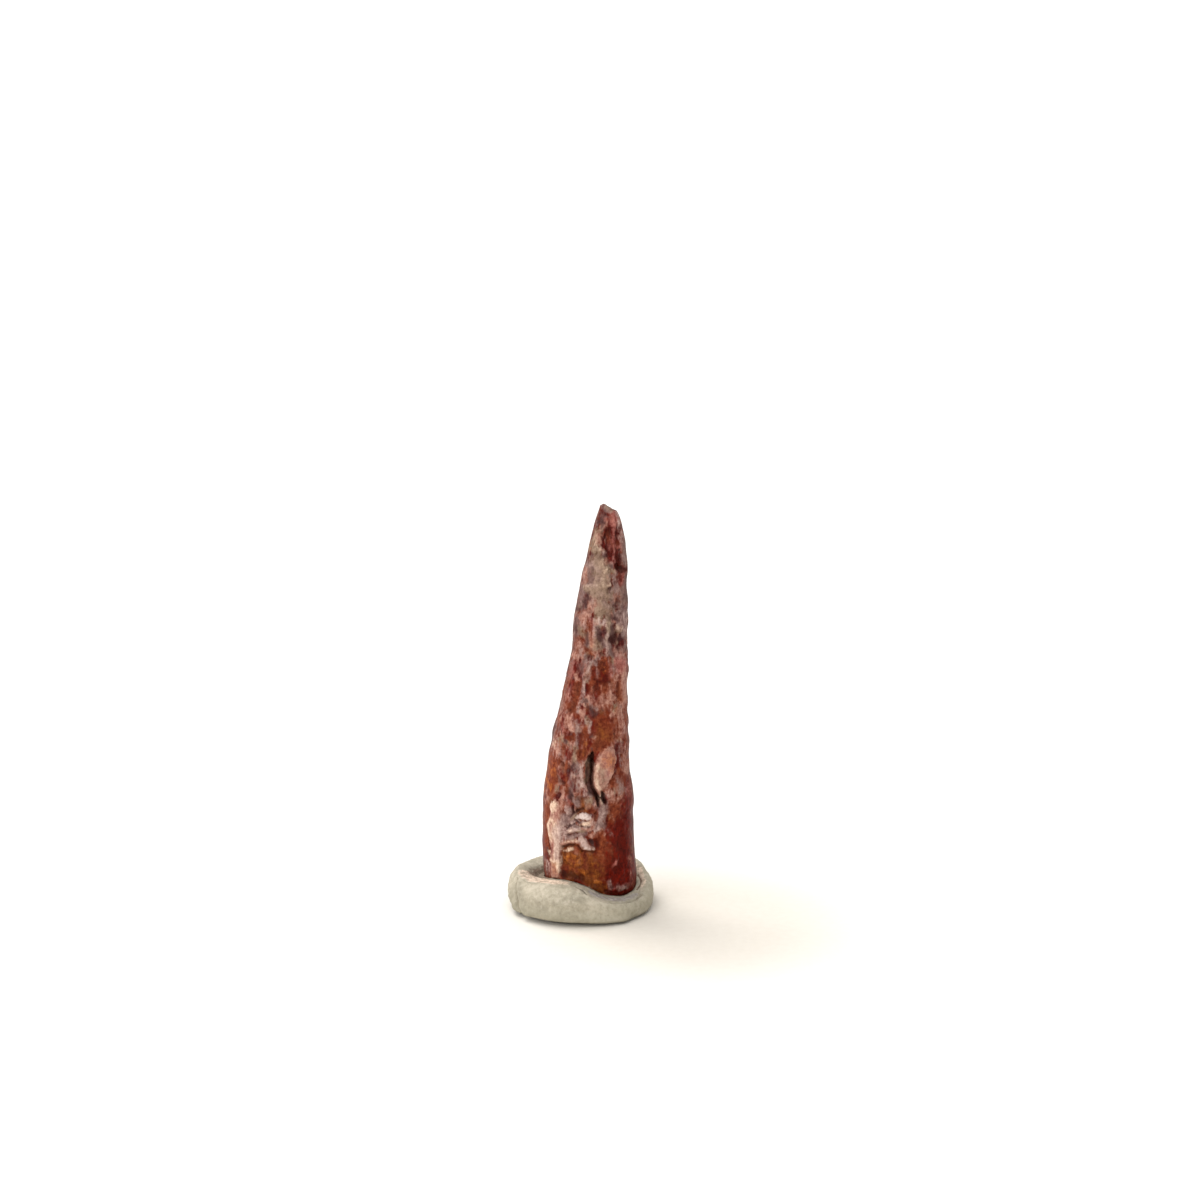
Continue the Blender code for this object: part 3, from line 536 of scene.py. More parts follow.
     ((0.22, 9.54, 0.08), (0.19, 8.88, 0.12), (0.14, 8.32, 0.13))),
    ("orange in the rust", "orange", 0.45, 0, 0.09, ((0.28, 8.98, 0.06), (0.23, 8.42, 0.07))),
    ("brown field", "rust", 0.85, -0.02, 0.24, ((1.12, 9.98, 0.28), (1.17, 9.16, 0.4))),
    ("amber of the brown field", "amber", 0.5, 0, 0.2, ((0.97, 9.73, 0.15), (1.22, 9.05, 0.3))),
    ("dark spots of the brown field", "maroon", 0.4, -0.03, 0.12, ((1.54, 10.09, 0.08), (1.12, 10.13, 0.08))),
    ("olive in the brown field", "tan", 0.3, 0.02, 0.12, ((0.59, 9.44, 0.08), (0.74, 9.13, 0.08))),
    ("mauve right of the field", "mauve", 0.25, 0.03, 0.16, ((1.75, 9.8, 0.1), (1.77, 8.98, 0.12))),
    ("rosy right edge below", "rose", 0.5, 0.04, 0.12, ((2.05, 9.94, 0.08), (2.08, 9.21, 0.09))),
    ("dark gap at the right edge", "rust", 0.7, -0.04, 0.1, ((2.21, 10.6, 0.05), (2.18, 9.79, 0.06))),
    ("salmon right edge of the middle", "salmon", 0.55, 0.02, 0.14, ((2.03, 10.46, 0.1), (2.03, 9.12, 0.11))),
    ("grey film at the right edge", "mauve", 0.3, 0.02, 0.11, ((2.24, 9.66, 0.05), (2.25, 8.83, 0.06))),
    ("rust above the tongue", "rust", 0.8, -0.04, 0.14, ((0.79, 8.83, 0.13), (1.15, 8.86, 0.13))),
    ("maroon right of the tongue", "maroon", 0.8, -0.05, 0.12,
     ((1.83, 8.76, 0.08), (1.91, 8.13, 0.11), (1.86, 7.63, 0.1))),
    ("rust of the right edge", "rust", 0.35, -0.02, 0.12, ((2.2, 8.66, 0.07), (2.24, 7.82, 0.08))),
    ("mauve streak at the right", "mauve", 0.5, 0.03, 0.1, ((2.01, 8.52, 0.07), (2.05, 7.58, 0.08))),
    ("salmon below the cream edge", "salmon", 0.6, 0.04, 0.12, ((-1.2, 8.6, 0.11), (-1.25, 8.03, 0.12))),
    ("rosy mauve below it", "mauve", 0.45, 0.02, 0.12, ((-1.47, 8.15, 0.07), (-1.53, 7.63, 0.08))),
    ("maroon streak at the left", "maroon", 0.65, -0.04, 0.11, ((-0.76, 8.59, 0.08), (-0.69, 8.15, 0.1))),
    ("mauve streak at the left", "mauve", 0.5, 0.02, 0.1, ((-0.97, 8.76, 0.07), (-0.99, 7.95, 0.08))),
    ("salmon streak of the middle", "salmon", 0.45, 0.02, 0.12, ((-0.51, 8.93, 0.07), (-0.46, 8.02, 0.08))),
    ("rust left edge", "rust", 0.9, -0.03, 0.16, ((-1.38, 7.84, 0.15), (-1.4, 6.94, 0.18))),
    ("orange in the left edge", "orange", 0.4, 0, 0.12, ((-1.33, 7.61, 0.06), (-1.4, 7.14, 0.08))),
    ("orange spot at the left edge", "orange", 0.95, 0.03, 0.09, ((-1.59, 6.62, 0.08), (-1.51, 6.45, 0.1))),
    ("ochre spot beside it", "tan", 0.6, 0.03, 0.09, ((-1.25, 6.58, 0.07), (-1.22, 6.33, 0.07))),
    ("umber seam at the left", "slate", 0.5, -0.06, 0.08, ((-0.91, 7.86, 0.05), (-0.9, 7.36, 0.06))),
    ("rosy field at the left", "salmon", 0.25, 0.02, 0.14, ((-1.1, 7.52, 0.08), (-1.05, 7.08, 0.08))),
    ("tan above the spots", "tan", 0.65, 0.04, 0.1, ((-0.28, 8.7, 0.08), (-0.29, 8.04, 0.1))),
    ("lilac in the mauve field", "lilac", 0.2, 0.02, 0.1, ((-0.08, 7.55, 0.08), (-0.12, 6.83, 0.08))),
    ("lilac streaks left of the crack", "lilac", 0.22, 0.02, 0.1,
     ((-0.15, 7.85, 0.07), (-0.05, 7.14, 0.07), (-0.02, 6.43, 0.07))),
    ("cream streak left of the crack", "cream", 0.15, 0.02, 0.1, ((-0.36, 7.22, 0.06), (-0.39, 6.51, 0.07))),
    ("lilac lip of the crack", "lilac", 0.6, 0.08, 0.07,
     ((0.12, 7.91, 0.07), (0.08, 7.25, 0.07), (0.16, 6.64, 0.07), (0.2, 6.28, 0.06))),
    ("slate spots left of the crack", "slate", 0.65, -0.05, 0.09, ((-0.32, 7.89, 0.07), (-0.3, 7.61, 0.08))),
    ("slate spots below them", "slate", 0.45, -0.05, 0.1, ((-0.51, 6.7, 0.07), (-0.57, 6.49, 0.08))),
    ("rose in the mauve field", "rose", 0.3, 0.02, 0.1, ((-0.67, 7.19, 0.08), (-0.62, 6.79, 0.09))),
    ("umber spot at the left", "umberShade", 0.55, -0.06, 0.08, ((-1, 6.94, 0.06), (-0.88, 6.8, 0.07))),
    ("slate line beside the spot", "slate", 0.5, -0.04, 0.08, ((-1.12, 7.12, 0.05), (-1.1, 6.82, 0.05))),
    ("thin brown streak a", "rust", 0.65, -0.04, 0.08, ((-0.87, 8.68, 0.05), (-0.91, 7.76, 0.05))),
    ("thin brown streak b", "slate", 0.5, -0.04, 0.08, ((-0.61, 7.81, 0.05), (-0.64, 7.19, 0.05))),
    ("thin brown streak c", "slate", 0.5, -0.04, 0.08, ((-0.41, 6.91, 0.05), (-0.46, 6.29, 0.05))),
    ("thin brown streak d", "rust", 0.55, -0.03, 0.08, ((-0.08, 8.51, 0.05), (-0.11, 8.05, 0.05))),
    ("thin brown streak e", "slate", 0.45, -0.04, 0.08, ((-0.01, 6.22, 0.05), (-0.16, 5.7, 0.05))),
    ("thin brown streak f", "rust", 0.6, -0.03, 0.08, ((-0.76, 6.98, 0.05), (-0.71, 6.37, 0.06))),
    ("thin brown streak g", "maroon", 0.5, -0.03, 0.08, ((-0.49, 8.43, 0.05), (-0.52, 8.02, 0.05))),
    ("thin brown streak h", "rust", 0.55, -0.03, 0.09, ((1.87, 9.88, 0.05), (1.91, 9.15, 0.06))),
    ("thin lilac streak", "lilac", 0.45, 0.03, 0.08, ((0.47, 9.99, 0.05), (0.44, 9.49, 0.06))),
    # painted shade: the right shoulder darker, away from the light
    ("painted shade on the right shoulder", "slate", 0.5, -0.02, 0.2, ((2.27, 17.29, 0.1), (2.32, 16.19, 0.13))),
    ("mauve wash in the left crust", "mauve", 0.3, 0, 0.2, ((0.62, 18.1, 0.15), (0.67, 16.63, 0.15))),
    ("lilac lip of the tip", "lilac", 0.5, 0.02, 0.12, ((1.91, 19.96, 0.07), (1.96, 19.38, 0.08))),
    ("lilac right edge of the band", "lilac", 0.4, 0.02, 0.16, ((2.22, 15.27, 0.1), (2.27, 14.39, 0.13))),
    ("tan wash in the band", "tan", 0.4, 0, 0.2, ((1.27, 16.35, 0.15), (1.27, 15.65, 0.15))),
    ("slate wash below the band", "slate", 0.35, -0.02, 0.16, ((1.72, 14.3, 0.13), (1.77, 13.68, 0.13))),
    ("salmon wash at the right edge", "salmon", 0.4, 0, 0.18, ((2.08, 10.34, 0.13), (2.13, 9.5, 0.13))),
    ("rust wash at the left edge", "rust", 0.4, 0, 0.18, ((-1.51, 7.39, 0.1), (-1.46, 6.52, 0.13))),
    # crack and tongue
    # painted shade: these three strokes darken the left outline, where the edge looks dark from the front
    ("slate left edge of the crust", "slate", 0.4, 0, 0.16,
     ((0.15, 16.96, 0.06), (-0.1, 15.83, 0.07), (-0.28, 14.49, 0.08), (-0.36, 13.57, 0.07))),
    ("slate left edge of the core", "slate", 0.4, 0, 0.16,
     ((-0.44, 12.87, 0.06), (-0.72, 11.82, 0.07), (-1, 10.76, 0.07))),
    ("rust left edge of the middle", "rust", 0.4, 0, 0.16,
     ((-1.23, 9.74, 0.06), (-1.48, 8.52, 0.06), (-1.62, 7.71, 0.06))),
    ("crack", "slate", 0.8, -0.17, 0.1,
     ((0.55, 8.37, 0.07), (0.42, 7.81, 0.14), (0.4, 7.1, 0.15), (0.55, 6.59, 0.13), (0.8, 6.12, 0.06))),
    ("deep of the crack head", "umberShade", 1, -0.14, 0.06,
     ((0.6, 8.47, 0.04), (0.57, 8.22, 0.09), (0.5, 8.02, 0.07))),
    ("deep of the crack", "umberShade", 1, -0.22, 0.06,
     ((0.6, 7.96, 0.05), (0.59, 7.35, 0.05), (0.55, 7, 0.07), (0.67, 6.63, 0.07), (0.84, 6.22, 0.05),
      (0.91, 5.7, 0.03))),
    ("olive wall of the crack", "tan", 0.75, 0.03, 0.09,
     ((0.34, 7.97, 0.08), (0.34, 7.41, 0.1), (0.31, 7, 0.06))),
    ("slate in the wall of the crack", "slate", 0.6, -0.03, 0.06, ((0.29, 7.56, 0.04), (0.36, 7.25, 0.05))),
    ("olive fleck in the wall", "amber", 0.4, 0, 0.06, ((0.39, 7.81, 0.04), (0.37, 7.66, 0.04))),
    ("purple floor of the crack", "mauve", 0.45, 0.02, 0.09, ((0.34, 6.74, 0.07), (0.5, 6.28, 0.08))),
    ("tongue flake", "salmon", 1, 0.17, 0.09,
     ((1.4, 8.45, 0.2), (1.29, 8.03, 0.41), (1.14, 7.53, 0.42), (1.01, 7.08, 0.34), (0.92, 6.78, 0.25))),
    ("heel of the tongue", "salmon", 1, 0.05, 0.08,
     ((0.85, 7.24, 0.21), (0.83, 6.83, 0.21), (0.85, 6.65, 0.17))),
    ("pale left border of the tongue", "cream", 0.45, 0.02, 0.08,
     ((0.82, 7.86, 0.06), (0.78, 7.35, 0.07), (0.81, 6.83, 0.08))),
    ("rosy middle of the tongue", "rose", 0.75, -0.02, 0.12,
     ((1.25, 8.23, 0.13), (1.45, 7.85, 0.15), (1.35, 7.46, 0.12))),
    ("rosy head of the tongue", "rose", 0.6, 0, 0.12, ((1.37, 8.4, 0.11), (1.25, 7.98, 0.15))),
    ("rust blush of the tongue", "rust", 0.3, 0, 0.12, ((1.37, 8.17, 0.09), (1.57, 7.68, 0.08))),
    ("orange in the tongue", "orange", 0.45, 0, 0.14, ((1.37, 8.12, 0.12), (1.5, 7.59, 0.13))),
    ("rose shade low in the tongue", "rose", 0.4, 0, 0.12, ((1.15, 7.43, 0.08), (1.3, 6.95, 0.09))),
    ("tan of the tongue", "tan", 0.55, 0, 0.14, ((1.05, 7.54, 0.12), (1.07, 6.87, 0.14))),
    ("mauve top of the tongue", "mauve", 0.45, 0, 0.1, ((1.45, 8.6, 0.09), (1.66, 8.28, 0.09))),
    ("pink crest of the tongue", "cream", 0.35, 0.02, 0.09, ((1.22, 8.39, 0.07), (1.35, 8.17, 0.08))),
    ("rust streak in the tongue", "rust", 0.35, -0.03, 0.08, ((1.59, 7.94, 0.05), (1.54, 7.48, 0.05))),
    ("grey streak in the tongue", "mauve", 0.35, -0.02, 0.08, ((1.24, 7.62, 0.05), (1.3, 7.05, 0.06))),
    ("orange wash of the tongue", "orange", 0.3, 0, 0.16, ((1.35, 8.43, 0.17), (1.27, 7.93, 0.25))),
    ("lit tip of the tongue", "cream", 0.5, 0.02, 0.07, ((0.84, 6.73, 0.08), (1.03, 6.59, 0.07))),
    ("second slit", "slate", 1, -0.24, 0.07, ((1.1, 6.38, 0.05), (1.24, 5.93, 0.08))),
    ("deep of the second slit", "umberShade", 0.8, -0.08, 0.05, ((1.14, 6.25, 0.03), (1.25, 5.93, 0.04))),
    ("cream between the slits", "cream", 0.4, 0.07, 0.07, ((1.02, 6.36, 0.06), (1.08, 5.69, 0.07))),
    ("tan left of the slit", "tan", 0.7, 0.06, 0.08, ((0.31, 6.07, 0.09), (0.38, 5.72, 0.11))),
    ("orange under the tan", "orange", 0.35, 0.03, 0.08, ((0.45, 5.87, 0.07), (0.32, 5.61, 0.07))),
    ("mauve patch right of the tongue", "mauve", 0.65, 0.05, 0.14, ((1.86, 7.02, 0.11), (2.01, 6.37, 0.15))),
    ("rosy patch below the tongue", "salmon", 0.85, 0.04, 0.14, ((1.4, 6.48, 0.12), (1.63, 5.99, 0.17))),
    ("lilac below the tongue", "lilac", 0.4, 0.03, 0.12, ((1.32, 6.13, 0.09), (1.45, 6.68, 0.08))),
    ("rust right of the tongue", "rust", 0.75, -0.03, 0.13, ((1.65, 7, 0.08), (1.52, 6.62, 0.09))),
    ("rust streak at the right", "rust", 0.5, -0.02, 0.11, ((1.93, 7.41, 0.06), (2.21, 6.72, 0.08))),
    ("maroon at the right edge", "maroon", 0.3, -0.02, 0.14, ((2.39, 6.94, 0.06), (2.49, 5.37, 0.07))),
    ("rust below the slits", "rust", 0.9, -0.03, 0.16, ((1.68, 5.62, 0.2), (1.85, 5.07, 0.25))),
    # drip flake
    ("dark gap above the drip", "maroon", 0.85, -0.06, 0.1, ((-1.25, 6.02, 0.06), (-1.09, 6.17, 0.09))),
    ("deep of that gap", "slate", 0.5, -0.03, 0.07, ((-1.17, 6.1, 0.05), (-1.07, 6.18, 0.05))),
    ("red strip left of the drip", "rust", 0.7, -0.03, 0.14,
     ((-1.73, 5.4, 0.1), (-1.74, 4.57, 0.1), (-1.74, 3.09, 0.11))),
    ("drip flake", "salmon", 1, 0.13, 0.06,
     ((-1.25, 5.79, 0.06), (-1.24, 5.51, 0.21), (-1.23, 5.1, 0.22), (-1.27, 4.73, 0.3), (-1.3, 4.36, 0.37),
      (-1.29, 3.99, 0.31), (-1.26, 3.47, 0.24), (-1.26, 2.84, 0.22), (-1.29, 2.02, 0.23))),
    ("cream head of the drip", "cream", 1, 0.03, 0.08, ((-1.29, 5.75, 0.08), (-1.36, 5.43, 0.12))),
    ("rosy throat of the drip", "rose", 0.45, -0.03, 0.09, ((-1.16, 5.38, 0.08), (-1.16, 5.07, 0.08))),
    ("cream shoulder of the drip", "cream", 0.7, 0.02, 0.08, ((-1.38, 4.91, 0.08), (-1.22, 4.53, 0.09))),
    # partly the drip's own cream, partly a painted highlight where its left edge faces the light
    ("cream left edge of the drip", "cream", 0.95, 0.03, 0.06,
     ((-1.49, 4.78, 0.05), (-1.62, 4.41, 0.07), (-1.6, 4.16, 0.08), (-1.47, 3.83, 0.06))),
    ("pale body of the drip", "cream", 0.8, 0, 0.1,
     ((-1.2, 4.54, 0.17), (-1.18, 3.54, 0.18), (-1.18, 2.65, 0.15))),
    ("lilac body of the drip", "lilac", 0.6, 0, 0.1,
     ((-1.17, 4.44, 0.15), (-1.16, 3.81, 0.17), (-1.15, 3.29, 0.15), (-1.15, 2.76, 0.12))),
    ("lilac lobe at its right", "lilac", 0.7, 0.03, 0.08,
     ((-1, 4.89, 0.08), (-0.94, 4.38, 0.1), (-0.98, 3.95, 0.08))),
    ("rosy folds in the drip", "rose", 0.5, -0.03, 0.08, ((-1.34, 3.77, 0.06), (-1.4, 3.12, 0.07))),
    ("gap in the drip's left", "slate", 0.55, -0.05, 0.06, ((-1.48, 3.31, 0.04), (-1.44, 2.9, 0.04))),
    ("pink piece at its left", "cream", 0.8, 0.05, 0.06, ((-1.65, 3.08, 0.06), (-1.58, 2.97, 0.06))),
    ("gap round the pink piece", "slate", 0.6, -0.05, 0.06, ((-1.74, 3.2, 0.04), (-1.64, 2.77, 0.04))),
    ("lilac foot at the left", "lilac", 0.55, 0.03, 0.1, ((-1.72, 2.47, 0.08), (-1.68, 1.86, 0.1))),
    ("cream foot of the drip", "cream", 0.65, 0.03, 0.08,
     ((-1.44, 2.69, 0.07), (-1.13, 2.66, 0.08), (-1.08, 2.24, 0.06))),
    ("brown heart of the foot", "orange", 0.5, -0.03, 0.08, ((-1.3, 2.56, 0.06), (-1.23, 2.09, 0.08))),
    ("maroon seam of the foot", "maroon", 0.6, -0.05, 0.06, ((-1.5, 2.56, 0.04), (-1.47, 1.9, 0.05))),
    ("umber step right of the drip", "umberShade", 0.45, -0.02, 0.04,
     ((-0.94, 3.54, 0.02), (-0.95, 2.8, 0.02), (-0.94, 1.88, 0.04))),
    # flaky zone
    ("mauve ground of the flakes", "mauve", 0.75, 0.01, 0.16,
     ((-0.69, 4.94, 0.18), (-0.04, 4.68, 0.35), (0.77, 4.78, 0.25))),
    ("lilac ground of the flakes", "lilac", 0.7, 0.01, 0.14,
     ((-0.69, 4.62, 0.18), (-0.04, 4.57, 0.23), (0.57, 4.68, 0.2))),
    ("cream ground of the flakes", "cream", 0.25, 0.01, 0.16, ((-0.59, 4.42, 0.15), (0.16, 4.37, 0.17))),
    ("salmon edge at the right a", "salmon", 0.6, 0.02, 0.14, ((2.26, 8.53, 0.08), (2.31, 7.29, 0.09))),
    ("rosy edge at the right b", "rose", 0.5, 0.02, 0.14, ((2.41, 6.43, 0.08), (2.46, 5.59, 0.08))),
    ("slate stains of the field", "slate", 0.5, -0.05, 0.11, ((-0.54, 6.13, 0.1), (-0.26, 5.9, 0.1))),
    ("rose in the field", "rose", 0.45, 0.03, 0.1, ((-0.74, 6.16, 0.08), (-0.59, 5.92, 0.08))),
    ("rust in the field", "rust", 0.45, -0.03, 0.1, ((-0.9, 5.83, 0.07), (-0.85, 5.33, 0.07))),
    ("lilac flake a", "lilac", 0.8, 0.06, 0.07, ((-0.68, 5.61, 0.08), (-0.61, 5.31, 0.09))),
    ("mauve flake b", "mauve", 0.75, 0.06, 0.07, ((-0.35, 6, 0.08), (-0.11, 5.76, 0.08))),
    ("dark gap a", "umberShade", 0.8, -0.1, 0.05, ((-0.42, 5.68, 0.03), (-0.39, 5.41, 0.04))),
    ("dark gap b", "umberShade", 0.7, -0.09, 0.05, ((-0.19, 5.47, 0.04), (0.14, 5.61, 0.03))),
    ("brown gap c", "slate", 0.7, -0.06, 0.06, ((-0.54, 5.13, 0.04), (-0.36, 5.33, 0.05))),
    ("tan strand", "tan", 0.7, 0.05, 0.06, ((-0.47, 5.01, 0.05), (-0.26, 5.2, 0.06))),
    ("white chip", "chalk", 0.95, 0.14, 0.06, ((-0.15, 5.13, 0.06), (0.08, 5.21, 0.16), (0.37, 5.18, 0.17))),
    ("lilac side of the chip", "lilac", 0.6, 0, 0.07, ((0.14, 5.02, 0.07), (0.39, 5.15, 0.09))),
    ("slate notch left of the chip", "slate", 0.7, -0.06, 0.05, ((-0.26, 5, 0.03), (-0.06, 4.82, 0.04))),
    ("rust strand in the notch", "rust", 0.5, 0, 0.05, ((-0.24, 4.84, 0.03), (-0.04, 4.71, 0.04))),
    ("cream strand under the chip", "cream", 0.8, 0.06, 0.05,
     ((-0.02, 4.68, 0.04), (0.21, 4.82, 0.08), (0.48, 4.91, 0.04))),
    ("cream glint in the lines", "cream", 0.7, 0.04, 0.05, ((-0.67, 4.29, 0.03), (-0.39, 4.49, 0.05))),
    ("cream glint at the right", "chalk", 0.6, 0.05, 0.05, ((0.75, 4.43, 0.04), (0.9, 4.52, 0.05))),
    ("rosy piece right of the chip", "salmon", 0.8, 0.06, 0.08, ((0.57, 5.05, 0.07), (0.65, 4.71, 0.07))),
    ("slate chip", "mauve", 0.8, 0.05, 0.16, ((1.12, 5.58, 0.15), (1.05, 5.18, 0.24), (1, 4.77, 0.2))),
    ("lilac heart of the slate chip", "lilac", 0.45, 0.03, 0.14, ((1.04, 5.39, 0.08), (0.98, 4.93, 0.09))),
    ("brown left of the slate chip", "rust", 0.75, -0.07, 0.07, ((0.76, 5.4, 0.06), (0.7, 4.89, 0.06))),
    ("brown piece over the chip", "rust", 0.6, 0.03, 0.1, ((0.49, 5.72, 0.09), (0.59, 5.46, 0.08))),
    ("mauve pieces at the left", "mauve", 0.7, 0.05, 0.08, ((-0.82, 5.08, 0.07), (-0.75, 4.67, 0.08))),
    ("dark slanted line a", "slate", 0.8, -0.07, 0.05, ((-0.7, 4.49, 0.04), (-0.54, 4.74, 0.04))),
    ("dark slanted line b", "slate", 0.7, -0.07, 0.05, ((-0.49, 4.65, 0.03), (-0.29, 4.83, 0.03))),
    ("lilac piece by the drip", "lilac", 0.75, 0.05, 0.08, ((-0.82, 4.4, 0.08), (-0.75, 3.99, 0.09))),
    ("flake line a", "lilac", 0.6, 0.05, 0.06,
     ((-0.7, 4.26, 0.04), (-0.34, 4.48, 0.08), (-0.09, 4.53, 0.04))),
    ("flake line b", "salmon", 0.65, 0.05, 0.06, ((0.11, 4.55, 0.04), (0.37, 4.51, 0.07), (0.67, 4.6, 0.05))),
    ("small chip a", "lilac", 0.6, 0.05, 0.06, ((-0.46, 4.8, 0.06), (-0.36, 4.87, 0.05))),
    ("small chip b", "cream", 0.5, 0.04, 0.06, ((0.3, 4.66, 0.04), (0.42, 4.72, 0.05))),
    ("small chip c", "lilac", 0.6, 0.05, 0.06, ((-0.51, 4.09, 0.06), (-0.41, 4.13, 0.04))),
    ("small chip d", "lilac", 0.5, 0.04, 0.06, ((0.59, 4.82, 0.06), (0.64, 4.91, 0.05))),
    ("small chip e", "rose", 0.5, 0.03, 0.07, ((0.09, 4.28, 0.06), (0.26, 4.33, 0.05))),
    ("small chip f", "lilac", 0.6, 0.05, 0.07, ((-0.19, 3.8, 0.05), (-0.11, 3.96, 0.05))),
    ("dark line a", "slate", 0.6, -0.05, 0.05, ((-0.32, 4.62, 0.03), (0.06, 4.67, 0.03), (0.44, 4.64, 0.03))),
    ("dark line b", "slate", 0.6, -0.06, 0.06,
     ((-0.65, 4.14, 0.04), (-0.24, 4.32, 0.04), (0.26, 4.37, 0.04))),
    ("tan piece in the lines", "tan", 0.7, 0.05, 0.07, ((-0.11, 4.42, 0.07), (0.14, 4.44, 0.06))),
    ("mauve flake line", "mauve", 0.7, 0.05, 0.06,
     ((-0.7, 3.98, 0.06), (-0.24, 4.17, 0.07), (0.21, 4.27, 0.07))),
    ("lilac pieces at the right", "lilac", 0.7, 0.06, 0.08, ((0.65, 4.39, 0.08), (0.89, 4.52, 0.08))),
    ("salmon piece", "salmon", 0.85, 0.06, 0.07, ((0.5, 4.15, 0.06), (0.7, 4.3, 0.07))),
    ("rust ring of the piece", "rust", 0.6, -0.05, 0.05, ((0.4, 4.26, 0.03), (0.6, 4.39, 0.04))),
    ("salmon ledge", "salmon", 0.8, 0.06, 0.07,
     ((-0.87, 3.67, 0.05), (-0.57, 3.88, 0.1), (-0.29, 3.93, 0.08), (0.01, 3.79, 0.05))),
    ("cream crest of the ledge", "cream", 0.5, 0.02, 0.06,
     ((-0.77, 3.79, 0.03), (-0.47, 3.93, 0.04), (-0.19, 3.94, 0.03))),
    ("mauve over the ledge", "mauve", 0.6, 0.03, 0.07, ((-0.75, 3.96, 0.05), (-0.39, 4.05, 0.05))),
    ("dark line under the ledge", "umberShade", 0.6, -0.07, 0.05,
     ((-0.87, 3.53, 0.04), (-0.62, 3.66, 0.04), (-0.19, 3.64, 0.04))),
    ("lower tongue chip", "lilac", 0.95, 0.12, 0.06,
     ((0.01, 4.02, 0.09), (0.19, 3.9, 0.13), (0.2, 3.67, 0.17), (0.49, 3.56, 0.13), (0.6, 3.52, 0.08))),
    ("chalk foot of the chip", "chalk", 0.7, 0.02, 0.06, ((0.19, 3.58, 0.07), (0.5, 3.52, 0.07))),
    ("purple hollow by the chip", "slate", 0.9, -0.09, 0.06, ((0.44, 3.93, 0.06), (0.57, 3.77, 0.07))),
    ("dark line left of the chip", "slate", 0.7, -0.08, 0.05, ((-0.14, 3.62, 0.04), (0.03, 3.4, 0.04))),
    ("shadow under the chip", "umberShade", 0.6, -0.06, 0.05, ((0.11, 3.35, 0.04), (0.62, 3.35, 0.04))),
    ("cream spot under the ledge", "cream", 0.75, 0.06, 0.06,
     ((-0.83, 3.31, 0.05), (-0.57, 3.43, 0.07), (-0.41, 3.47, 0.05))),
    ("salmon right of the flake line", "salmon", 0.6, 0.04, 0.09, ((0.84, 4.2, 0.07), (1.02, 4.47, 0.07))),
    ("rust right of the chips", "rust", 0.9, -0.04, 0.14, ((1.02, 4.24, 0.15), (1.12, 3.71, 0.22))),
    ("maroon gap right of the chips", "maroon", 0.7, -0.06, 0.08, ((0.77, 3.88, 0.06), (0.85, 3.63, 0.06))),
    ("olive stain right of the chips", "amber", 0.6, 0.02, 0.12, ((1.42, 5.14, 0.11), (1.5, 4.67, 0.12))),
    # base
    ("brown field of the base", "amber", 0.75, 0, 0.26, ((0.26, 2.95, 0.45), (0.62, 2.48, 0.51))),
    ("amber swelling", "amber", 0.9, 0.06, 0.16, ((-0.57, 2.96, 0.25), (-0.24, 2.88, 0.33))),
    ("lit ring of the amber", "orange", 0.55, 0.03, 0.09,
     ((-0.7, 2.99, 0.08), (-0.5, 3.12, 0.09), (-0.26, 3.04, 0.08), (-0.16, 2.78, 0.08))),
    ("orange heart of the amber", "orange", 0.6, 0, 0.06, ((-0.47, 2.76, 0.05), (-0.31, 2.65, 0.06))),
    ("dark of the amber", "rust", 0.6, -0.04, 0.08, ((-0.52, 2.91, 0.05), (-0.34, 2.84, 0.05))),
    ("rust under the amber", "rust", 0.6, -0.02, 0.12, ((-0.75, 2.46, 0.08), (-0.24, 2.37, 0.08))),
    ("ochre streak in the field", "orange", 0.3, 0.03, 0.1, ((0.04, 3.29, 0.07), (-0.01, 2.79, 0.08))),
    ("rust streak in the field a", "rust", 0.8, -0.03, 0.1, ((0.19, 3.32, 0.08), (0.26, 2.59, 0.1))),
    ("ochre streak low in the field", "orange", 0.4, 0.02, 0.11, ((0.7, 2.69, 0.07), (0.77, 1.93, 0.11))),
    ("rust streak in the field b", "maroon", 0.4, -0.03, 0.1, ((0.52, 2.59, 0.06), (0.55, 2.05, 0.07))),
    ("amber streak high", "orange", 0.3, 0.02, 0.1, ((1.05, 3.61, 0.07), (1, 3.09, 0.07))),
    ("rust field at the right", "rust", 0.7, -0.01, 0.18, ((1.17, 3.39, 0.13), (1.17, 2.45, 0.15))),
    # painted shade: the tooth darkened where it meets the putty
    ("umber foot", "umberShade", 0.5, -0.05, 0.13, ((-0.82, 2.09, 0.11), (-0.45, 2.09, 0.13), (0.11, 1.91, 0.08))),
    ("orange lit spot", "orange", 0.5, 0.03, 0.07, ((-0.06, 2.42, 0.06), (0.24, 2.23, 0.07))),
    ("ochre spot at the foot", "orange", 0.65, 0.05, 0.08, ((0.77, 1.79, 0.09), (1, 1.7, 0.09))),
    ("deep red side", "maroon", 1, -0.02, 0.26,
     ((1.93, 4.64, 0.25), (2.14, 3.75, 0.38), (1.98, 2.75, 0.56), (2.01, 1.33, 0.56))),
    ("rust vein in the red a", "rust", 0.35, 0.02, 0.1, ((1.63, 4.91, 0.08), (1.53, 4.3, 0.08))),
    ("rust vein in the red b", "rust", 0.2, 0.02, 0.1, ((2.27, 4.86, 0.07), (2.31, 3.91, 0.07))),
    ("rust vein in the red c", "rust", 0.35, 0.02, 0.1, ((1.8, 3.62, 0.06), (1.86, 2.98, 0.07))),
    ("rust vein in the red d", "rust", 0.45, 0.02, 0.1, ((1.48, 3.46, 0.07), (1.37, 2.74, 0.08))),
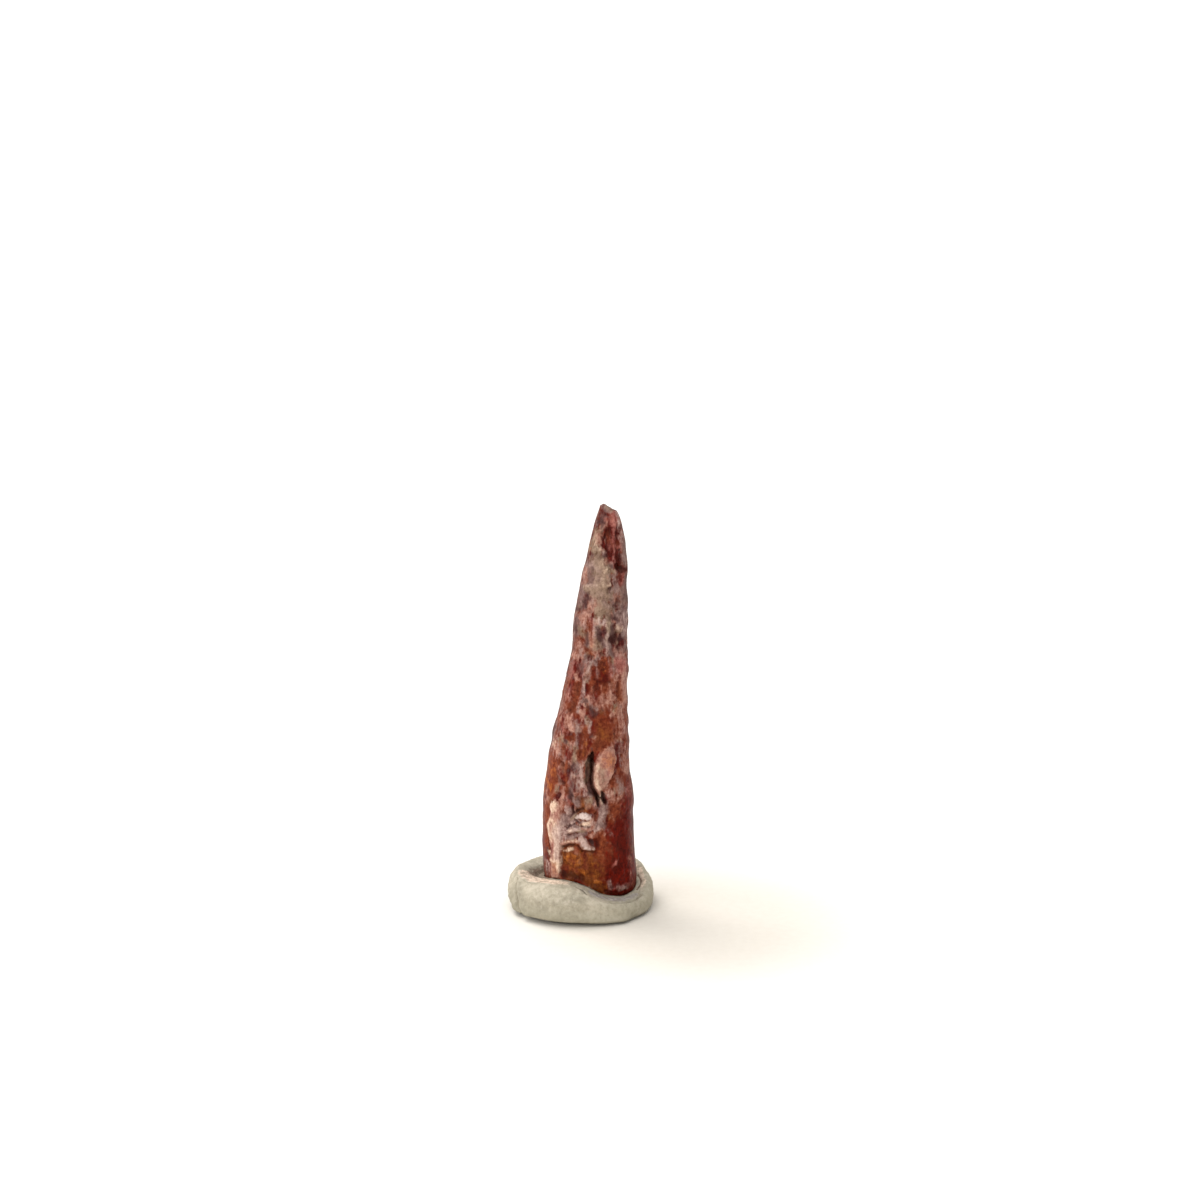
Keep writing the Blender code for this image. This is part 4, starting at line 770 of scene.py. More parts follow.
    ("orange at the right edge", "salmon", 0.5, 0, 0.1, ((2.48, 2.79, 0.05), (2.55, 2.1, 0.07))),
    ("red right edge above the foot", "maroon", 0.8, -0.01, 0.22, ((2.34, 5.75, 0.18), (2.44, 4.48, 0.23))),
    ("brown shade in the red side", "umberShade", 0.35, 0, 0.24, ((2.24, 4.98, 0.2), (2.34, 3.79, 0.23))),
    ("maroon spur of the red side", "maroon", 0.75, -0.01, 0.2, ((1.53, 4.5, 0.1), (1.68, 3.75, 0.15))),
    ("rust low in the red side", "rust", 0.4, 0, 0.18, ((1.58, 3.35, 0.13), (1.53, 2.51, 0.13))),
    ("maroon blend right of the field", "maroon", 0.4, 0, 0.22,
     ((1.53, 3.56, 0.1), (1.32, 2.64, 0.12), (1.48, 1.76, 0.1))),
    ("rosy spot a", "rose", 0.5, 0.05, 0.06, ((1.83, 2.75, 0.05), (1.78, 2.6, 0.07), (1.63, 2.47, 0.04))),
    ("rosy spot b", "mauve", 0.75, 0.05, 0.08, ((1.46, 1.71, 0.07), (1.53, 1.43, 0.09))),
    ("rosy spot c", "mauve", 0.8, 0.06, 0.08, ((2.12, 1.27, 0.1), (2.35, 1.35, 0.11))),
    ("rosy spot d", "mauve", 0.6, 0.05, 0.08, ((1.83, 1.45, 0.06), (1.96, 1.23, 0.07))),
    ("salmon foot at the right", "salmon", 0.45, 0.04, 0.1, ((2.53, 1.89, 0.07), (2.62, 1.34, 0.09))),
    # painted shade where the tooth meets the putty
    ("dark foot at the right", "umberShade", 0.7, -0.04, 0.09,
     ((1.27, 1.19, 0.06), (1.89, 0.89, 0.06), (2.51, 0.86, 0.06))),
)
marks["back"] = (
    ("groove in the back of the tip", "maroon", 1, -0.10, 0.10, ((1.50, 20.0, 0.07), (1.60, 18.3, 0.12))),
    ("rib in the back of the tip", "rose", 0.85, 0.05, 0.07, ((1.20, 20.1, 0.05), (1.08, 18.2, 0.06))),
    ("back crust", "tan", 0.75, 0.09, 0.14,
     ((1.55, 18.0, 0.08), (1.20, 17.2, 0.30), (1.40, 16.3, 0.46), (1.00, 15.5, 0.20), (1.25, 14.9, 0.10))),
    ("rosy stain in the back crust", "rose", 0.5, 0, 0.12, ((0.90, 17.3, 0.10), (0.80, 16.4, 0.14))),
    ("pit in the back crust", "umberShade", 0.9, -0.15, 0.10, ((1.50, 17.2, 0.09), (1.55, 16.8, 0.11))),
    ("ridge in the back crust", "cream", 0.8, 0.06, 0.06,
     ((0.62, 16.4, 0.04), (1.15, 16.2, 0.06), (1.72, 16.5, 0.05))),
    ("crack in the back crust", "umberShade", 0.9, -0.08, 0.05, ((1.10, 15.9, 0.03), (1.70, 16.1, 0.04))),
    ("dark patch below the back crust", "slate", 1, -0.07, 0.08, ((1.55, 14.7, 0.14), (1.35, 14.1, 0.18))),
    ("pale streak beside it", "lilac", 0.6, 0.06, 0.08, ((0.95, 14.9, 0.07), (0.98, 13.7, 0.08))),
    ("orange patch beside it", "orange", 0.7, 0.04, 0.09, ((0.35, 14.4, 0.11), (0.45, 13.8, 0.14))),
    ("ridge on the back", "lilac", 0.6, 0.10, 0.10, ((-0.05, 14.0, 0.05), (-0.45, 11.3, 0.07))),
    ("red core on the back", "rust", 1, -0.04, 0.20, ((1.30, 12.8, 0.30), (1.25, 10.2, 0.40))),
    ("deep red of the core", "maroon", 1, -0.05, 0.12, ((1.45, 12.2, 0.14), (1.20, 11.4, 0.20))),
    ("back crack", "umberShade", 1, -0.35, 0.10, ((0.70, 11.6, 0.03), (0.35, 9.8, 0.10), (0.15, 8.2, 0.03))),
    ("lip of the back crack", "lilac", 0.8, 0.06, 0.07,
     ((1.00, 11.3, 0.04), (0.66, 9.7, 0.06), (0.44, 8.4, 0.04))),
    ("mauve stripe on the back", "mauve", 0.7, 0.03, 0.10, ((-0.30, 10.6, 0.09), (-0.70, 8.0, 0.12))),
    ("amber field on the back", "amber", 0.7, 0.02, 0.20, ((1.55, 9.4, 0.22), (1.65, 7.8, 0.28))),
    ("wide back flake", "salmon", 1, 0.20, 0.07,
     ((1.32, 7.2, 0.10), (1.05, 6.4, 0.36), (0.78, 5.6, 0.56), (0.66, 5.1, 0.30), (0.40, 4.8, 0.12))),
    ("rosy middle of the wide flake", "rose", 0.6, -0.03, 0.10, ((1.10, 6.7, 0.10), (0.72, 5.4, 0.20))),
    ("lilac side of the wide flake", "lilac", 0.7, 0, 0.09, ((0.62, 6.4, 0.10), (0.36, 5.4, 0.12))),
    ("edge of the wide flake", "cream", 0.9, 0.03, 0.05,
     ((1.46, 6.2, 0.03), (1.34, 5.6, 0.06), (0.98, 4.98, 0.04), (0.60, 4.75, 0.05), (0.30, 4.78, 0.03))),
    ("step under the wide flake", "umberShade", 1, -0.14, 0.12, ((-0.20, 4.0, 0.12), (1.50, 3.9, 0.14))),
    ("small flakes under the step", "chalk", 0.9, 0.10, 0.05,
     ((0.10, 3.55, 0.08), (0.62, 3.42, 0.13), (0.95, 3.5, 0.08))),
    ("narrow back flake", "lilac", 0.8, 0.12, 0.09,
     ((-0.95, 4.8, 0.05), (-0.80, 4.2, 0.18), (-0.72, 3.4, 0.12), (-0.60, 2.9, 0.20), (-0.62, 2.4, 0.05))),
    ("rosy heart of the narrow flake", "rose", 0.5, -0.02, 0.08, ((-0.80, 4.3, 0.06), (-0.66, 3.1, 0.10))),
    ("gap beside the narrow flake", "umberShade", 1, -0.10, 0.05, ((-0.48, 4.4, 0.04), (-0.32, 2.6, 0.05))),
    ("amber foot on the back", "amber", 1, 0.05, 0.30, ((0.30, 2.3, 0.45), (1.40, 2.5, 0.55))),
    ("lit spot in the amber foot", "orange", 0.8, 0.03, 0.10, ((0.55, 2.7, 0.12), (0.75, 2.6, 0.10))),
    ("red side on the back", "maroon", 0.9, -0.02, 0.30, ((-1.20, 3.2, 0.25), (-1.00, 1.7, 0.35))),
)
marks["left"] = (
    ("groove on the left", "maroon", 0.55, -0.10, 0.24,
     ((0.30, 16.6, 0.04), (0.12, 15.4, 0.08), (0.24, 14.2, 0.03))),
    ("crust on the left", "tan", 0.7, 0.06, 0.14,
     ((0.60, 17.2, 0.06), (0.78, 16.5, 0.20), (0.70, 15.8, 0.24), (0.86, 15.1, 0.08))),
    ("pale streak on the left", "lilac", 0.5, 0.05, 0.10, ((-0.25, 15.4, 0.05), (-0.10, 13.6, 0.06))),
    ("hollow on the left", "rust", 0.8, -0.12, 0.30, ((0.15, 12.1, 0.12), (0.30, 10.0, 0.16))),
    ("ridge beside the hollow", "mauve", 0.85, 0.05, 0.10, ((0.70, 12.4, 0.07), (0.85, 9.8, 0.09))),
    ("slate stain on the left", "slate", 0.8, -0.05, 0.10, ((-0.30, 9.5, 0.14), (-0.20, 8.8, 0.18))),
    ("left flake", "salmon", 1, 0.15, 0.07,
     ((0.62, 7.7, 0.05), (0.78, 6.8, 0.20), (0.88, 6.0, 0.28), (0.74, 5.2, 0.14), (0.62, 4.8, 0.05))),
    ("edge of the left flake", "cream", 0.85, 0.03, 0.05,
     ((0.56, 6.9, 0.02), (0.60, 6.0, 0.05), (0.64, 5.2, 0.05), (0.58, 4.8, 0.03))),
    ("gap beside the left flake", "umberShade", 1, -0.10, 0.06,
     ((0.42, 6.6, 0.02), (0.40, 5.8, 0.05), (0.48, 5.2, 0.02))),
    ("orange side", "orange", 0.6, 0.02, 0.20, ((-0.10, 7.3, 0.20), (-0.05, 6.4, 0.25))),
    ("mauve chips on the left", "mauve", 0.9, 0.08, 0.06,
     ((0.10, 4.7, 0.10), (0.30, 4.3, 0.16), (0.75, 4.2, 0.10))),
    ("gap under the chips", "umberShade", 0.9, -0.10, 0.06,
     ((-0.10, 4.2, 0.04), (0.40, 3.95, 0.05), (0.85, 3.9, 0.04))),
    ("red foot on the left", "maroon", 0.8, -0.02, 0.25, ((0.10, 3.2, 0.25), (0.20, 2.0, 0.30))),
    ("amber foot on the left", "amber", 0.8, 0.03, 0.20, ((0.90, 3.1, 0.18), (0.95, 2.1, 0.22))),
)
marks["right"] = (
    ("red top of the right side", "maroon", 0.8, -0.04, 0.12, ((0.10, 19.6, 0.10), (0.15, 18.2, 0.16))),
    ("crust on the right", "tan", 0.7, 0.06, 0.14,
     ((0.48, 17.9, 0.06), (0.62, 17.1, 0.20), (0.54, 16.3, 0.24), (0.72, 15.6, 0.08))),
    ("groove on the right", "maroon", 0.9, -0.12, 0.14, ((0.25, 15.2, 0.05), (0.05, 12.2, 0.09))),
    ("lilac streak on the right", "lilac", 0.5, 0.06, 0.10, ((0.60, 14.8, 0.06), (0.50, 12.6, 0.08))),
    ("hollow on the right", "rust", 0.8, -0.14, 0.30, ((-0.25, 10.4, 0.12), (-0.35, 8.4, 0.18))),
    ("rosy ridge on the right", "rose", 0.6, 0.05, 0.12, ((0.30, 11.2, 0.10), (0.25, 8.6, 0.14))),
    ("slate stain on the right", "slate", 0.8, -0.05, 0.10, ((0.80, 10.2, 0.14), (0.85, 9.4, 0.16))),
    ("right flake", "salmon", 1, 0.15, 0.07,
     ((0.66, 7.0, 0.05), (0.82, 6.0, 0.24), (0.94, 5.2, 0.30), (0.78, 4.5, 0.16), (0.66, 4.0, 0.05))),
    ("rosy heart of the right flake", "rose", 0.6, -0.02, 0.08, ((0.80, 6.2, 0.07), (0.95, 5.0, 0.14))),
    ("edge of the right flake", "cream", 0.9, 0.03, 0.05,
     ((0.58, 6.3, 0.02), (0.62, 5.2, 0.05), (0.62, 4.5, 0.05), (0.60, 4.0, 0.03))),
    ("gap beside the right flake", "umberShade", 1, -0.10, 0.06,
     ((0.44, 5.9, 0.02), (0.42, 5.0, 0.05), (0.48, 4.3, 0.03))),
    ("deep red right side", "maroon", 0.9, -0.02, 0.35, ((-0.30, 4.8, 0.30), (-0.20, 1.6, 0.45))),
    ("rust vein in the right side", "rust", 0.7, 0.03, 0.08, ((-0.15, 4.6, 0.05), (-0.10, 2.6, 0.07))),
    ("mauve spot on the right", "mauve", 0.9, 0.05, 0.07, ((0.20, 2.6, 0.08), (0.30, 2.3, 0.10))),
    ("amber foot on the right", "amber", 0.7, 0.03, 0.25, ((0.75, 2.8, 0.22), (0.85, 1.8, 0.28))),
    ("swelling of the right foot", "maroon", 0.3, 0.06, 0.55, ((-0.60, 1.5, 0.35), (0.30, 1.5, 0.35))),
)


def sectionAt(height):
    # middle, half width and half depth of the tooth at a height
    left, right = curveThrough(toothEdges, height)
    low, high = tooth["depthToWidth"]
    flatness = low + (high - low) * smoothStep(tooth["base"], tooth["peak"][2], height)
    return (left + right) / 2, (right - left) / 2, (right - left) / 2 * flatness


def tipHeight(x, y):
    # the broken face falls to the right of its peak, and a little to the back
    px, py, top = tooth["peak"]
    return top - tooth["slopeRight"] * np.maximum(0, x - px) - tooth["slopeBack"] * (y - py)


def layPatches(skin):
    # what the old surface took on by itself
    wall = skin["wall"]
    for (name, (pitch, stretch, rise)), part in zip(patches.items(), curveThrough(spread, wall[:, 2])):
        field = noiseAt(wall, pitch, stretch, 11.3 * len(name))
        field += 0.35 * noiseAt(wall, pitch * 0.3, stretch, 5.9) + 0.12 * skin["fine"]
        weight = smoothStep(*tooth["patchEdge"], field - 0.42 + 0.80 * part)
        paint(skin["covers"], name, tooth["patchCover"] * weight)
        skin["relief"] += rise * weight


def layStrokes(skin, side, strokes):
    # raises or sinks each stroke on one side of the tooth, and colours it with its finish, painted shade and
    # highlights among them; names are for the reader
    height = skin["wall"][:, 2]
    across = skin["wall"][:, 0 if side in ("front", "back") else 1]
    turned = skin["outward"][:, 1 if side in ("front", "back") else 0]
    facing = -turned if side in ("front", "left") else turned
    ragged = tooth["ragged"] if side == "front" else tooth["raggedSides"]
    for name, finish, cover, rise, edge, line in strokes:
        reach = max(w for x, z, w in line) + 3 * edge
        near = (facing > 0) & (height > min(z for x, z, w in line) - reach)
        near &= height < max(z for x, z, w in line) + reach
        gap = strokeGap(line, across[near], height[near]) + edge * ragged * skin["waver"][near]
        fade = smoothStep(0, 0.2, facing[near])
        skin["relief"][near] += rise * fade * (1 - smoothStep(0, edge, gap))
        tint = np.zeros(len(height))
        tint[near] = cover * fade * (1 - smoothStep(-edge, 2 * edge, gap))
        paint(skin["covers"], finish, tint)


def makeTooth():
    piece = addDrum("tooth_crust", tooth["columns"], tooth["cuts"], tooth["crownRings"], 2)
    drum = readPoints(piece)
    angle = np.arctan2(drum[:, 1], drum[:, 0])
    angle -= tooth["columnCrowding"] * np.cos(angle)
    share, radius = drum[:, 2], np.hypot(drum[:, 0], drum[:, 1])

    # the smooth tooth
    middle, wide, deep = sectionAt(np.full(len(drum), tooth["peak"][2]))
    top = tipHeight(middle + wide * np.cos(angle), deep * np.sin(angle)) - tooth["crownDrop"]
    height = tooth["base"] + (top - tooth["base"]) * share ** tooth["rowCrowding"]
    middle, wide, deep = sectionAt(height)
    wall = np.stack([middle + wide * np.cos(angle), deep * np.sin(angle), height], axis=1)
    outward = np.stack([np.cos(angle) / wide, np.sin(angle) / deep, np.zeros(len(drum))], axis=1)
    outward /= np.linalg.norm(outward, axis=1)[:, None]
    sideways = np.abs(outward[:, 0])

    # worn lumps, grain and striations
    pitch, rise = tooth["lumps"]
    relief = rise * noiseAt(wall, pitch)
    pitch, rise = tooth["grain"]
    relief += rise * noiseAt(wall, pitch, 6)
    pitch, rise = tooth["striations"]
    fine = noiseAt(wall, pitch, 9, 3.7) + 0.6 * noiseAt(wall, pitch * 0.5, 7, 8.1)
    relief += rise * fine

    # grounds, patches of each finish, then the marks over them
    covers = {name: np.zeros(len(drum)) for name in finishes}
    long, short = tooth["wanderPitch"]
    waver = noiseAt(wall, long, 1.6, 2.2) + 0.9 * noiseAt(wall, short, 1.8, 6.4)
    skin = {"wall": wall, "outward": outward, "fine": fine, "waver": waver,
            "relief": relief, "covers": covers}
    layStrokes(skin, "front", grounds)
    layPatches(skin)
    for side, strokes in marks.items():
        layStrokes(skin, side, strokes)
    # painted shade: near-black brown along the two side edges, where the outline looks dark from the front
    paint(covers, "umberShade", tooth["sideShadeCover"] * smoothStep(*tooth["sideShade"], sideways + 0.03 * waver))
    relief *= 1 - tooth["rubbedSides"] * smoothStep(*tooth["sideEdge"], sideways)
    relief *= smoothStep(0.1, 0.8, wide)

    # the broken tip closes over the top
    points = wall + outward * relief[:, None]
    crown = (share > 0.999) & (radius < 0.999)
    inset = 1 - radius[crown]
    middleTop = sectionAt(points[crown, 2])[0]
    points[crown, 0] += (middleTop - points[crown, 0]) * inset
    points[crown, 1] *= radius[crown]
    points[crown, 2] = tipHeight(points[crown, 0], points[crown, 1]) - tooth["crownDrop"] * (1 - inset) ** 3
    pitch, rise = tooth["crownGrain"]
    points[crown, 2] += rise * noiseAt(points[crown], pitch) * smoothStep(0, 0.3, inset) - 0.02

    # the root is closed below, hidden in the putty
    root = share < 0.001
    points[root, :2] -= outward[root, :2] * tooth["rootShrink"]
    points[root, 0] = middle[root] + (points[root, 0] - middle[root]) * radius[root]
    points[root, 1] *= radius[root]
    points[:, :2] += tooth["aside"]

    writePoints(piece, points)
    writeCovers(piece, layered(covers))
    writeCovers(piece, {"relief": relief / tooth["deepRelief"]})
    wearDown(piece, *tooth["wear"])
    soften(piece, tooth["softened"])
    bpy.ops.object.shade_smooth()
    piece.data.materials.append(dentineMaterial())
    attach(piece, "root")
    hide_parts("tooth")


def dentineMaterial():
    # Mineralised dentine and enamel: hard, waxy and finely streaked along the tooth, rust red where the
    # skin has flaked off, with dull tan and mauve crust on top and glossy amber near the root.
    material, tree, shader = newMaterial("mineralised_dentine")
    place = addNode(tree, "TexCoord").outputs["Object"]
    along = addNode(tree, "Mapping", {"Vector": place, "Scale": (1, 1, tooth["streakLength"])}).outputs[0]
    pattern = {}
    for name, (pitch, detail, rough) in tooth["patterns"].items():
        way = along if name == "streaks" else place
        sockets = {"Vector": way, "Scale": perMm(pitch), "Detail": detail, "Roughness": rough}
        pattern[name] = addNode(tree, "TexNoise", sockets).outputs["Fac"]
    streaks, speckle, torn = pattern["streaks"], pattern["speckle"], pattern["torn"]

    # bare dentine under the crust, its tones in place of the black and white that a ramp starts with
    bare = addNode(tree, "ValToRGB", {"Fac": pattern["clouds"]})
    stops = bare.color_ramp.elements
    for position, shade in tooth["bare"]:
        stops.new(position).color = colour(shade)
    stops.remove(stops[0])
    stops.remove(stops[len(stops) - 1])
    skin, gloss = bare.outputs["Color"], tooth["bareRoughness"]

    # each finish over it, its edges torn along the fibres and its tone streaked
    mottle = addNode(tree, "Math", {0: streaks, 1: speckle}, operation='ADD').outputs[0]
    mottle = addNode(tree, "Math", {0: mottle, 1: torn}, operation='ADD').outputs[0]
    tone = addNode(tree, "MapRange", {"Value": mottle, "From Min": 1.20, "From Max": 1.82}).outputs[0]
    fibres = addNode(tree, "Math", {0: streaks, 1: torn}, operation='ADD').outputs[0]
    tear = addNode(tree, "MapRange", {"Value": fibres, "From Min": 0.7, "From Max": 1.3,
                                      "To Min": -1.3, "To Max": 1.3}).outputs[0]
    for name, finish in finishes.items():
        cover = addNode(tree, "Attribute", attribute_name=name).outputs["Fac"]
        rest = addNode(tree, "Math", {0: 1.0, 1: cover}, operation='SUBTRACT').outputs[0]
        fringe = addNode(tree, "Math", {0: cover, 1: rest}, operation='MULTIPLY').outputs[0]
        broken = addNode(tree, "Math", {0: fringe, 1: tear, 2: cover}, operation='MULTIPLY_ADD').outputs[0]
        factor = addNode(tree, "MapRange", {"Value": broken, "From Min": 0.03, "From Max": 0.97},
                         interpolation_type='SMOOTHSTEP').outputs[0]
        skin, gloss = layFinish(tree, factor, tone, finish, skin, gloss)

    # painted shade in the hollows, and rubbed high places
    relief = addNode(tree, "Attribute", attribute_name="relief").outputs["Fac"]
    skin = layWashes(tree, skin, ((relief, tooth["hollowShade"]), (relief, tooth["rubbed"])))
    tree.links.new(skin, shader.inputs["Base Color"])
    smoother, duller = tooth["unevenGloss"]
    uneven = addNode(tree, "MapRange", {"Value": speckle, "From Min": 0.3, "From Max": 0.7,
                                        "To Min": smoother, "To Max": duller}).outputs[0]
    rough = addNode(tree, "Math", {0: gloss, 1: uneven}, operation='ADD', use_clamp=True).outputs[0]
    tree.links.new(rough, shader.inputs["Roughness"])
    shader.inputs["IOR"].default_value = tooth["ior"]
    shader.inputs["Specular IOR Level"].default_value = tooth["specular"]

    # striations and grain too fine for the mesh
    grainy = addNode(tree, "Math", {0: streaks, 1: 1.4, 2: speckle}, operation='MULTIPLY_ADD').outputs[0]
    strength, rise = tooth["bump"]
    bump = addNode(tree, "Bump", {"Height": grainy, "Strength": strength, "Distance": rise * mm})
    tree.links.new(bump.outputs["Normal"], shader.inputs["Normal"])
    return material


makeTooth()
print("tooth made")


# the putty

putty = {
    "columns": 384,                 # faces round it
    "cuts": (27, 3),                # 28 x 4 rows from its foot over its rim and down to the pocket's floor
    "outer": 0.60,                  # share of the rows on the outside
    "inner": 0.32,                  # share of the rows from the crest down to the tooth
    "halfWidth": 3.69,              # mm
    "halfDepth": 3.70,
    "squareness": 2.25,
    "undercut": 42,                 # degrees
    "floor": 0.42,                  # mm, bottom of the pocket
    "seam": 0.03,                   # mm, between the smooth tooth and the lip pressed round it
    "lumps": (1.7, 0.07),           # mm pitch and rise
    "dents": (0.55, 0.030),
    "grain": (0.15, 0.030),
    "tuck": (0.45, 0.15),           # mm that the foot is tucked under, and up to which share of its side
    "wanderPitch": (0.40, 0.15),    # mm, the long and the short waves in the edges of stains
    "ragged": 0.8,                  # how far they wander, as a share of the edge's softness
    "rise": 3.0,                    # mm along the outside, from the foot to the crest
    "fall": 1.5,                    # mm along the inside, from the crest to the tooth
    "deepRelief": 0.20,             # mm, a dent that counts as full for the darker dents
    # the fine patterns of the material: pitch in mm, detail and roughness
    "patterns": {"clouds": (1.3, 4, 0.60), "grain": (0.10, 3, 0.70), "torn": (0.24, 4, 0.70)},
    # the compound: places in its clouds, and their tones
    "body": ((0.34, "978f7e"), (0.50, "a89f8c"), (0.66, "b9af9c")),
    "roughness": 0.85,
    # washes: the value of a pattern, or the share of deep relief, at which each begins and is full, its
    # strength and its colour
    "dull": (0.50, 0.34, 0.45, "857c6b"),
    "pale": (0.52, 0.68, 0.45, "cdc3b0"),
    "specks": (0.42, 0.30, 0.5, "7f7869"),
    # darker in the dents, by their depth
    "darkerDents": (-0.2, -1, 0.4, "8a7f6c"),
    # the same with heights in mm: the greener underside and the dark foot, dirt together with painted shade
    # near the floor
    "soiledAndShaded": ((1.5, 0.1, 0.55, "8f8a76"), (0.32, 0.04, 0.8, "4d493b")),
    "ior": 1.47,
    "specular": 0.25,
    "bump": (0.7, 0.045),           # strength, and height in mm
}

# the rim round the tooth: compass angle from the right-hand side, height of its crest, height at
# which it meets the tooth, and how near the crest is to the outside
puttyRim = (
    (0, 1.30, 1.12, 0.60), (30, 1.75, 1.32, 0.58), (60, 1.90, 1.50, 0.58), (90, 1.86, 1.52, 0.60),
    (135, 1.70, 1.46, 0.68), (180, 1.83, 1.50, 0.74), (200, 1.88, 1.64, 0.80), (215, 1.80, 1.74, 0.76),
    (232, 1.82, 1.78, 0.58), (250, 1.80, 1.70, 0.58), (266, 1.68, 1.50, 0.66), (284, 1.22, 1.16, 0.80),
    (300, 0.96, 0.98, 0.84), (322, 0.92, 0.84, 0.82), (342, 1.06, 0.94, 0.72), (360, 1.30, 1.12, 0.60),
)

# finishes of the putty: a dark and a light tone, and a roughness
stainsAndShade = {
    # this finish is dust together with painted shade: a darker grey-beige laid in the folds, the bowl at the
    # left and under the crest
    "dustAndShade": ("8d8878", "a9a291", 0.92),
    "blush": ("a68b74", "edd7c2", 0.80),
    "ash": ("7d7571", "b0a7a3", 0.85),
    "stain": ("3f2a1c", "6d4c38", 0.75),
    # this finish is painted shade: near-black laid in the notch of the front rim, in the crease under the
    # ledge and where the putty meets the tooth
    "creaseShade": ("241d18", "4a4038", 0.85),
}

# how it was pressed, what it picked up and where shade is painted, each a stroke: its name, its finish and
# cover, its rise and edge in mm, and its line as compass angles, mm along the skin from the foot (3 at the
# crest,
# 4.5 at the tooth), and half widths in mm
presses = (
    ("fold at the left front", "dustAndShade", 0.7, -0.24, 0.22,
     ((203, 2.45, 0.02), (209, 1.60, 0.04), (220, 0.15, 0.02))),
    ("lip of the front lobe", "", 0, 0.08, 0.16, ((208, 2.35, 0.04), (214, 1.60, 0.06), (226, 0.30, 0.04))),
    ("pushed out foot of the front", "", 0, 0.17, 0.80,
     ((212, 0.35, 0.20), (262, 0.25, 0.30), (300, 0.35, 0.20))),
    ("left lobe", "", 0, 0.10, 0.70, ((184, 2.1, 0.10), (192, 1.05, 0.10))),
    ("front lobe", "", 0, 0.12, 0.90, ((228, 1.95, 0.20), (262, 1.80, 0.20))),
    ("thumb hollow at the back", "", 0, -0.24, 1.10, ((66, 2.25, 0.20), (86, 2.25, 0.20))),
    ("fold at the back", "dustAndShade", 0.8, -0.28, 0.26, ((112, 2.85, 0.03), (119, 1.50, 0.05), (126, 0.30, 0.03))),
    ("hollow on the right", "", 0, -0.10, 0.60, ((12, 2.25, 0.10), (24, 2.25, 0.10))),
    ("lobe at the right back", "", 0, 0.12, 0.80, ((40, 1.65, 0.15), (50, 1.65, 0.15))),
    ("dust in the bowl at the left", "dustAndShade", 0.7, 0.0, 0.50,
     ((120, 3.9, 0.3), (150, 3.8, 0.4), (185, 3.9, 0.3))),
    # partly brown dirt, partly painted shade in the hollow inside the left rim
    ("brown smear inside the left rim", "stain", 1, -0.12, 0.24,
     ((150, 4.0, 0.14), (168, 3.95, 0.28), (188, 4.1, 0.36), (206, 4.35, 0.20))),
    ("pink smear inside the left rim", "blush", 0.8, 0.03, 0.26,
     ((186, 3.35, 0.20), (206, 3.55, 0.45), (240, 3.7, 0.40))),
    # partly brown dirt, partly painted shade where the putty pulled away from the tooth
    ("brown wedge by the tooth", "stain", 0.9, -0.10, 0.20,
     ((152, 4.25, 0.16), (172, 4.25, 0.24), (190, 4.35, 0.14))),
    ("line under the crest", "dustAndShade", 0.6, -0.05, 0.09,
     ((209, 2.80, 0.02), (232, 2.82, 0.03), (252, 2.80, 0.02))),
    ("first brown dash in the pink", "stain", 0.55, -0.02, 0.10, ((200, 3.25, 0.04), (207, 3.3, 0.05))),
    ("second brown dash in the pink", "stain", 0.5, -0.02, 0.09, ((206, 3.75, 0.04), (213, 3.7, 0.04))),
    ("third brown dash in the pink", "stain", 0.6, -0.02, 0.10, ((186, 3.7, 0.05), (194, 3.9, 0.06))),
    ("fourth brown dash in the pink", "stain", 0.6, -0.02, 0.10, ((190, 3.35, 0.04), (198, 3.55, 0.05))),
    ("fifth brown dash in the pink", "stain", 0.5, -0.02, 0.09, ((214, 3.95, 0.04), (222, 4.1, 0.05))),
    ("ridge over the front lobe", "", 0, 0.05, 0.22,
     ((212, 2.95, 0.06), (240, 2.95, 0.08), (258, 2.95, 0.05))),
    ("dark nick in the front rim", "creaseShade", 0.8, -0.08, 0.12,
     ((258, 3.7, 0.04), (266, 3.4, 0.06), (272, 3.1, 0.04))),
    ("blush inside the right rim", "blush", 0.75, 0.0, 0.30, ((350, 3.6, 0.30), (384, 3.6, 0.35))),
    ("brown streaks inside the right rim", "stain", 0.85, -0.04, 0.12,
     ((346, 4.1, 0.10), (360, 3.8, 0.09), (374, 4.0, 0.12))),
    ("brown streak at the right", "stain", 0.5, -0.02, 0.10, ((330, 3.4, 0.05), (342, 3.7, 0.06))),
    ("ash ledge", "ash", 0.95, 0.0, 0.25, ((276, 3.9, 0.25), (300, 3.9, 0.30), (330, 3.9, 0.25))),
    ("crease at the foot of the ledge", "creaseShade", 0.6, -0.09, 0.12,
     ((294, 3.15, 0.03), (316, 3.1, 0.06), (334, 3.2, 0.03))),
    ("dark line round the tooth", "creaseShade", 0.8, 0.0, 0.10,
     ((244, 4.46, 0.04), (300, 4.45, 0.07), (345, 4.45, 0.08))),
    ("blush in the fold", "blush", 0.5, 0.0, 0.12, ((213, 0.9, 0.06), (218, 0.5, 0.06))),
)


def puttyEdge(angle):
    # outermost point at a compass angle, seen from above
    power = putty["squareness"]
    across = np.abs(np.cos(angle) / putty["halfWidth"]) ** power
    deep = np.abs(np.sin(angle) / putty["halfDepth"]) ** power
    reach = (across + deep) ** (-1 / power)
    return np.stack([np.cos(angle) * reach, np.sin(angle) * reach, np.zeros(len(angle))], axis=1)


